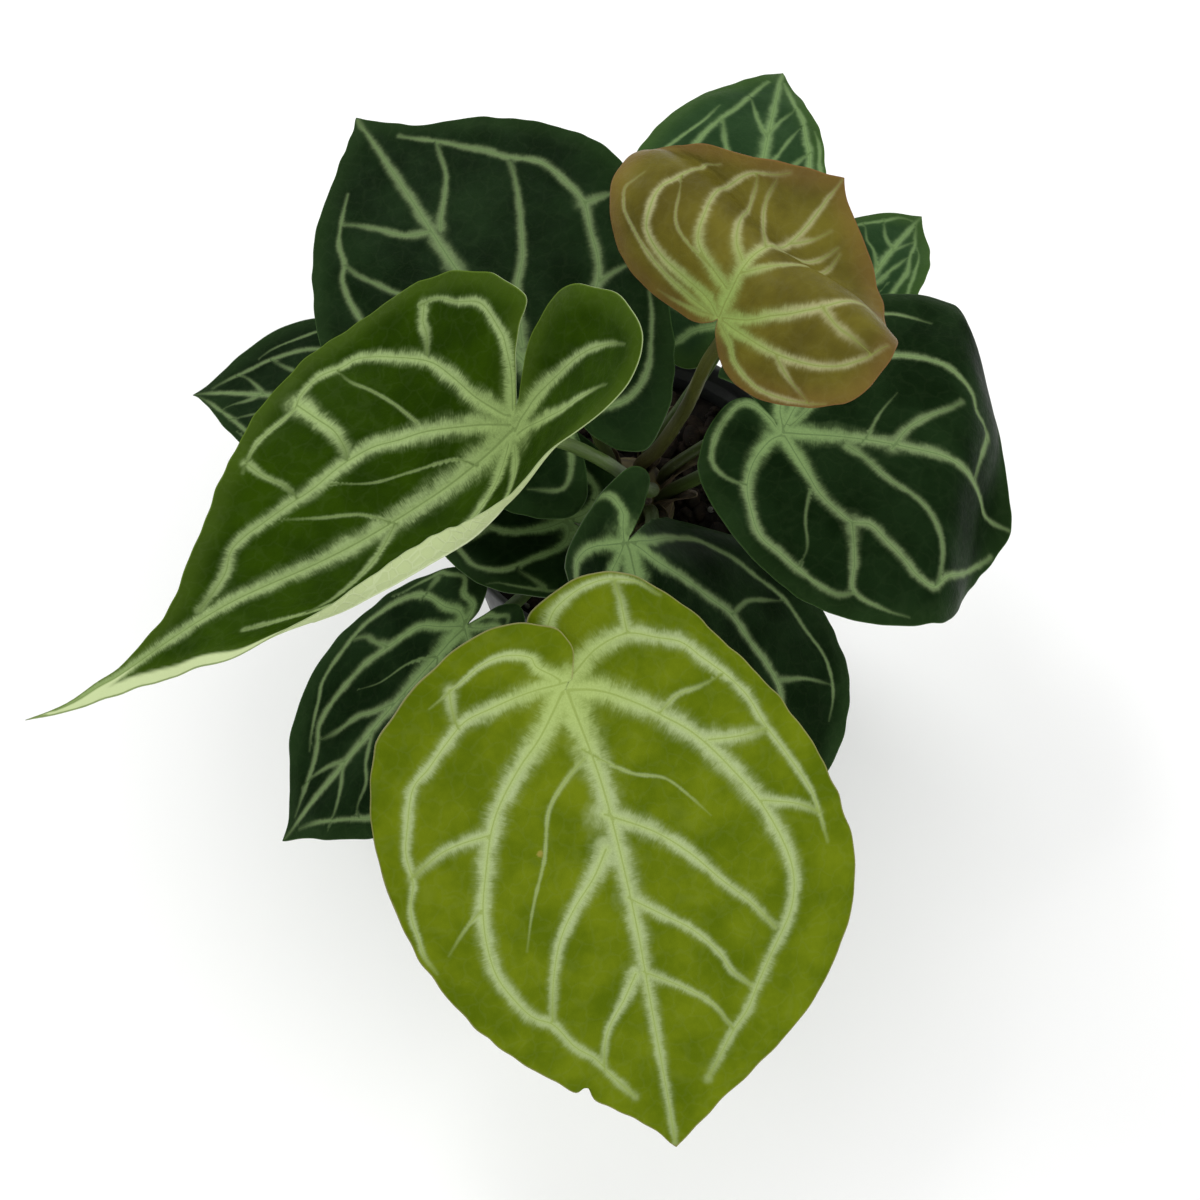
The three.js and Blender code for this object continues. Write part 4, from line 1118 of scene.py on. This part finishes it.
# %% The papery sheaths
def sheath_finish():
    n = Nodes("sheath_paper")
    streak = n.noise(n.scaled(n.vector("skin"), 1, 1, 0.06), 1.8, 4, 0.7)
    base = n.mix(n.ramp(streak, 0.3, 0.7), (0.04, 0.024, 0.012), (0.13, 0.09, 0.045))
    n.bump(streak, 0.0004)
    return n.finished(base, 0.75)


SHEATH = sheath_finish()


SHEATH_COLUMNS, SHEATH_THICK, SHEATH_SPREAD = 13, 0.35, math.radians(115)


def build_sheath(leaf, number):
    """A thin pointed strip that hugs the outer side of a stalk's foot."""
    rng = np.random.default_rng(500 + number)
    line = evenly(eased_curve(stalk_points(leaf), CURVE_STEPS), 1.5)[3:]
    rows, columns = int(rng.uniform(14, 21)), SHEATH_COLUMNS
    outward = math.radians(leaf["foot"] + rng.normal(0, 25))
    points, skin = [], []
    for layer in (0.0, SHEATH_THICK):
        for r in range(rows):
            share = r / (rows - 1)
            spread = SHEATH_SPREAD * (1 - share) ** 0.6 * (1 - 0.2 * share) + 0.03
            radius = 3.1 + 0.5 * share + layer + 2.2 * share**3
            for c in range(columns):
                t = outward + spread * (2 * c / (columns - 1) - 1)
                frill = 0.25 * math.sin(c * 1.9 + r * 0.6 + number)
                out = np.array([math.cos(t), math.sin(t), 0])
                points.append(line[r] + out * (radius + frill * share))
                skin.append((t * 3, radius, line[r][2] + 40 * number))
    size = rows * columns
    grid = np.arange(size).reshape(rows, columns)
    border = [*grid[0], *grid[1:, -1], *grid[-1, -2::-1], *grid[-2:0:-1, 0]]
    border = [int(k) for k in border]
    faces = [face[::-1] for face in bands(rows, columns, 0, closed=False)]
    faces += bands(rows, columns, size, closed=False)
    faces += [(a, b, b + size, a + size) for a, b in zip(border, border[1:] + border[:1])]
    sheath = mesh_object(f"sheath_{leaf['name']}", np.array(points) * MM, faces, [SHEATH])
    put(sheath.data, "skin", skin)
    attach(sheath, "root")


for number, leaf in enumerate(LEAVES.values()):
    build_sheath(leaf, number)
print("sheaths made:", len(LEAVES))

# %% [markdown]
# ## The potting mix
# Aroids are potted in a coarse, dark mix of bark chips and fibre with a little white perlite. Its
# look is in the single bits, so a bumpy disc alone would look like paint. We lay a lumpy dark bed
# where the CAD plug is, and strew it with real chips and grains: each is a small block or ball
# with its corners pushed about at random, turned at random, and half sunk in the bed.
# The bed, the chips and the grains are coloured darker than the mix itself: painted shade under the
# crown of leaves, laid over the mix's own dark colour.

# %% The bed
MIX_TOP, MIX_FOOT, MIX_RADIUS, MIX_FOOT_RADIUS = 94, 2.9, 55.2, 40.9


def bed_height(x, y):
    lumps = np.sin(x * 0.31 + 1.3) * np.sin(y * 0.27 - 0.4) + 0.5 * np.sin(x * 0.63 - y * 0.52)
    fine = 0.5 * np.sin(x * 1.3 + 2) * np.sin(y * 1.1) + 0.3 * np.sin(x * 2.3 + y * 1.9)
    edge = 1 - smooth(np.hypot(x, y), MIX_RADIUS - 6, MIX_RADIUS)
    return MIX_TOP + 1.6 * lumps * edge + 0.7 * fine * edge - 0.4


BED_RINGS, BED_SIDES = 40, 120
profile = [(0, MIX_FOOT), (MIX_FOOT_RADIUS, MIX_FOOT)]
profile += [(MIX_RADIUS * ring / BED_RINGS, MIX_TOP) for ring in range(BED_RINGS, 0, -1)]
points, faces = turned_mesh(profile + [(0, MIX_TOP)], BED_SIDES)
top = points[:, 2] > MIX_TOP - 1
points[top, 2] = bed_height(points[top, 0], points[top, 1])


def mix_finish(name, dark, light, scale, rough):
    n = Nodes(name)
    place = n.place()
    grain = n.noise(place, scale, 5, 0.7)
    base = n.mix(n.ramp(grain, 0.3, 0.7), dark, light)
    spots = n.noise(place, scale * 3.1, 3, 0.6)
    base = n.mix(n.ramp(spots, 0.55, 0.7, 0, 0.6), base, toned(light, 1.8))
    n.bump(grain, 0.001)
    return n.finished(base, n.ramp(grain, 0.3, 0.7, rough - 0.1, rough + 0.05), 0.15)


# The bed's colours are near black: the mix's own dark colour with painted shade under the crown.
mix_dark_and_shade = mix_finish("mix_dark_and_shade", (0.003, 0.002, 0.0015), (0.01, 0.007, 0.005), 260, 0.93)
bed = mesh_object("mix_bed", points * MM, faces, [mix_dark_and_shade])
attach(bed, "root")
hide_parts("potting_mix")

# %% Chips and grains
def ball(rng, splits):
    """A small ball of triangles with its points pushed about."""
    bm = bmesh.new()
    bmesh.ops.create_icosphere(bm, subdivisions=splits, radius=1.0)
    points = np.array([v.co for v in bm.verts])
    faces = [tuple(v.index for v in f.verts) for f in bm.faces]
    bm.free()
    return points * (1 + rng.normal(0, 0.09, (len(points), 1))), faces


def strewn(name, count, seed, sizes, flatness, material, splits, low, high):
    rng = np.random.default_rng(seed)
    points, faces, total = [], [], 0
    made = 0
    while made < count:
        radius = MIX_RADIUS * math.sqrt(rng.uniform(0.02, 0.96))
        angle = rng.uniform(0, 2 * np.pi)
        size = rng.uniform(*sizes)
        x, y = radius * math.cos(angle), radius * math.sin(angle)
        if not CROWN_RADIUS + 0.4 * size < radius < MIX_RADIUS - 0.6 * size:
            continue
        shape, bits = ball(rng, splits)
        if flatness < 0.9:
            shape = np.sign(shape) * np.abs(shape) ** 0.7
        shape *= np.array([size / 2, size / 2 * rng.uniform(0.4, 0.8), size / 2 * flatness])
        tilt = rng.normal(0, 0.35, 3) + (0, 0, rng.uniform(0, 6.3))
        turn = np.array(Euler(tilt).to_matrix())
        height = float(bed_height(np.array(x), np.array(y))) + rng.uniform(low, high)
        points.append(shape @ turn.T + (x, y, height))
        faces += [tuple(i + total for i in f) for f in bits]
        total += len(shape)
        made += 1
    thing = mesh_object(name, np.vstack(points) * MM, faces, [material])
    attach(thing, "root")
    return thing


# The chips are darkened the same way: their own dark brown with painted shade under the crown.
bark = mix_finish("bark_chip", (0.004, 0.0026, 0.0016), (0.015, 0.0088, 0.005), 180, 0.85)
strewn("bark_chips", 330, 11, (4, 12), 0.38, bark, 2, 0.0, 1.2)
strewn("fine_bark", 500, 12, (1.5, 4), 0.6, bark, 1, 0.2, 1.2)
# The perlite is painted grey, not white: painted shade under the crown over its own pale colour.
perlite = mix_finish("perlite", (0.14, 0.135, 0.125), (0.2, 0.195, 0.185), 700, 0.9)
strewn("perlite_grains", 90, 13, (1.2, 3.2), 0.95, perlite, 2, 0.5, 1.4)
print("potting mix made")

# %% [markdown]
# ## The pot
# The pot is the plain black kind that nurseries use, moulded thin, with a stepped rim and a slight
# sheen. The CAD pot has its true shape but flat facets, so we turn the same profile again with
# many more segments and rounded corners, and keep its six round drain holes in the foot.

# %% The pot's outline
POT_HEIGHT, POT_FOOT, POT_TOP, RIM_HEIGHT, RIM_STEP, WALL, FLOOR = 108, 43, 58, 10, 3, 1.8, 2.6
DRAIN_HOLES, DRAIN_RADIUS, DRAIN_RING = 6, 4, 31
POT_SIDES, HOLE_SIDES = 144, 32


def pot_radius(z):
    return POT_FOOT + (POT_TOP - POT_FOOT) * z / (POT_HEIGHT - RIM_HEIGHT)


rim_foot, rim = POT_HEIGHT - RIM_HEIGHT, POT_TOP + RIM_STEP
outside = [(POT_FOOT - 3, 0), (POT_FOOT - 1.9, 0.15), (POT_FOOT - 0.9, 0.7), (POT_FOOT - 0.1, 1.6),
           (pot_radius(3), 3)]
outside += [(pot_radius(z), z) for z in np.linspace(8, rim_foot - 2, 18)]
outside += [(POT_TOP - 0.1, rim_foot - 0.4), (POT_TOP + 0.2, rim_foot),
            (rim - 0.9, rim_foot + 0.15), (rim - 0.25, rim_foot + 0.6), (rim, rim_foot + 1.4),
            (rim + 0.3, POT_HEIGHT - 4), (rim + 0.55, POT_HEIGHT - 1.5),
            (rim + 0.45, POT_HEIGHT - 0.6), (rim, POT_HEIGHT - 0.1), (rim - 0.5, POT_HEIGHT)]
inside_wall = [(rim - WALL + 0.3, POT_HEIGHT - 0.1), (rim - WALL - 0.1, POT_HEIGHT - 0.6),
               (rim - WALL - 0.5, rim_foot + 3.4), (rim - WALL - 0.9, rim_foot + 2.4),
               (POT_TOP - WALL + 0.3, rim_foot + 0.5), (POT_TOP - WALL, rim_foot - 0.3)]
inside_wall += [(pot_radius(z) - WALL, z) for z in np.linspace(rim_foot - 6, FLOOR, 6)]


# %% The foot with its drain holes
def circle(radius, sides, x=0, y=0):
    return [(x + radius * math.cos(t), y + radius * math.sin(t)) for t in angles(sides)]


def holed_disc(radius):
    """A flat disc without the drain holes: points, triangles, and each hole's point numbers."""
    points, edges, holes = circle(radius, POT_SIDES), [], []
    middles = circle(DRAIN_RING, DRAIN_HOLES)
    for x, y in middles:
        hole = [len(points) + k for k in range(HOLE_SIDES)]
        points += circle(DRAIN_RADIUS, HOLE_SIDES, x, y)
        edges += list(zip(hole, hole[1:] + hole[:1]))
        holes.append(hole)
    made = delaunay_2d_cdt(points, edges, [list(range(POT_SIDES))], 1, 1e-7, False)
    places = np.array([tuple(p) for p in made[0]])
    faces = []
    for face in made[2]:
        middle = places[list(face)].mean(0)
        if all(math.hypot(*(middle - m)) > 0.98 * DRAIN_RADIUS for m in middles):
            faces.append(tuple(face))
    return places, faces, holes


# %% Build the pot
def build_pot():
    wall = outside + inside_wall
    points = [(x, y, z) for r, z in wall for x, y in circle(r, POT_SIDES)]
    faces = bands(len(wall), POT_SIDES)
    hole_rings = []
    for z, (radius, _), first, down in ((0, wall[0], 0, True),
                                        (FLOOR, wall[-1], (len(wall) - 1) * POT_SIDES, False)):
        places, bits, holes = holed_disc(radius)
        shift = len(points) - POT_SIDES
        number = lambda i: first + i if i < POT_SIDES else shift + i
        points += [(x, y, z) for x, y in places[POT_SIDES:]]
        for bit in bits:
            x0, y0 = places[bit[0]]
            (x1, y1), (x2, y2) = places[bit[1]], places[bit[2]]
            up = (x1 - x0) * (y2 - y0) - (x2 - x0) * (y1 - y0) > 0
            bit = [number(i) for i in bit]
            faces.append(tuple(bit[::-1] if up == down else bit))
        hole_rings.append([[number(i) for i in hole] for hole in holes])
    for low, high in zip(*hole_rings):
        for k in range(HOLE_SIDES):
            m = (k + 1) % HOLE_SIDES
            faces.append((low[m], low[k], high[k], high[m]))
    pot = mesh_object("nursery_pot", np.array(points) * MM, faces, [pot_finish()])
    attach(pot, "root")
    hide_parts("pot")


def pot_finish():
    n = Nodes("pot_black")
    place = n.place()
    cloud = n.noise(place, 25, 4, 0.6)
    base = n.mix(n.ramp(cloud, 0.3, 0.7), (0.012, 0.013, 0.014), (0.022, 0.023, 0.024))
    dust = n.noise(n.scaled(place, 1, 1, 0.3), 140, 4, 0.7)
    base = n.mix(n.ramp(dust, 0.6, 0.8, 0, 0.35), base, (0.07, 0.065, 0.055))
    n.bump(n.noise(place, 900, 2), 0.0001, 0.7)
    return n.finished(base, n.ramp(dust, 0.35, 0.7, 0.42, 0.6))


build_pot()
print("pot made")

# %% [markdown]
# ## Floor, light and camera
# The plant stands on a plain pale floor in soft studio light: a bright even surround, a lamp
# behind it on the left, which gives the dark leaves their sheen, and a larger, softer lamp in
# front of it on the right. The camera looks down steeply from the front, as one looks at a plant
# on a low table, with a lens a little longer than normal.

# %% Floor
def floor_finish():
    n = Nodes("floor_pale")
    cloud = n.noise(n.place(), 3, 3)
    return n.finished(n.mix(cloud, (0.9, 0.9, 0.9), (0.93, 0.93, 0.93)), 0.9)


FAR_OFF = 60
corners = [(x * FAR_OFF, y * FAR_OFF, 0) for x, y in ((-1, -1), (1, -1), (1, 1), (-1, 1))]
floor = mesh_object("floor", corners, [(0, 1, 2, 3)], [floor_finish()])

# %% Light
SURROUND, LEAVES_MIDDLE = 0.92, (0, -0.03, 0.18)
bpy.context.scene.view_settings.view_transform = "Standard"
world = bpy.data.worlds.new("studio")
bpy.context.scene.world = world
world.use_nodes = True
surround = world.node_tree.nodes["Background"]
surround.inputs["Color"].default_value = (1, 1, 1, 1)
surround.inputs["Strength"].default_value = SURROUND


def soft_lamp(name, place, size, power):
    lamp = bpy.data.lights.new(name, "AREA")
    lamp.shape = "DISK"
    lamp.size = size
    lamp.energy = power
    holder = bpy.data.objects.new(name, lamp)
    bpy.context.scene.collection.objects.link(holder)
    holder.location = place
    way = Vector(LEAVES_MIDDLE) - Vector(place)
    holder.rotation_euler = way.to_track_quat("-Z", "Y").to_euler()


soft_lamp("window", (-0.7, 0.9, 1.2), 0.5, 9)
soft_lamp("fill", (0.9, -0.9, 1.3), 1.4, 9)

# %% Camera
CAMERA_PLACE = (-0.0087, -0.4336, 0.7820)
CAMERA_TILT, LENS, FILM = math.radians(30), 70, 36
camera = bpy.data.objects.new("camera", bpy.data.cameras.new("camera"))
bpy.context.scene.collection.objects.link(camera)
camera.location = CAMERA_PLACE
camera.rotation_euler = (CAMERA_TILT, 0, 0)
camera.data.lens = LENS
camera.data.sensor_width = FILM
bpy.context.scene.camera = camera
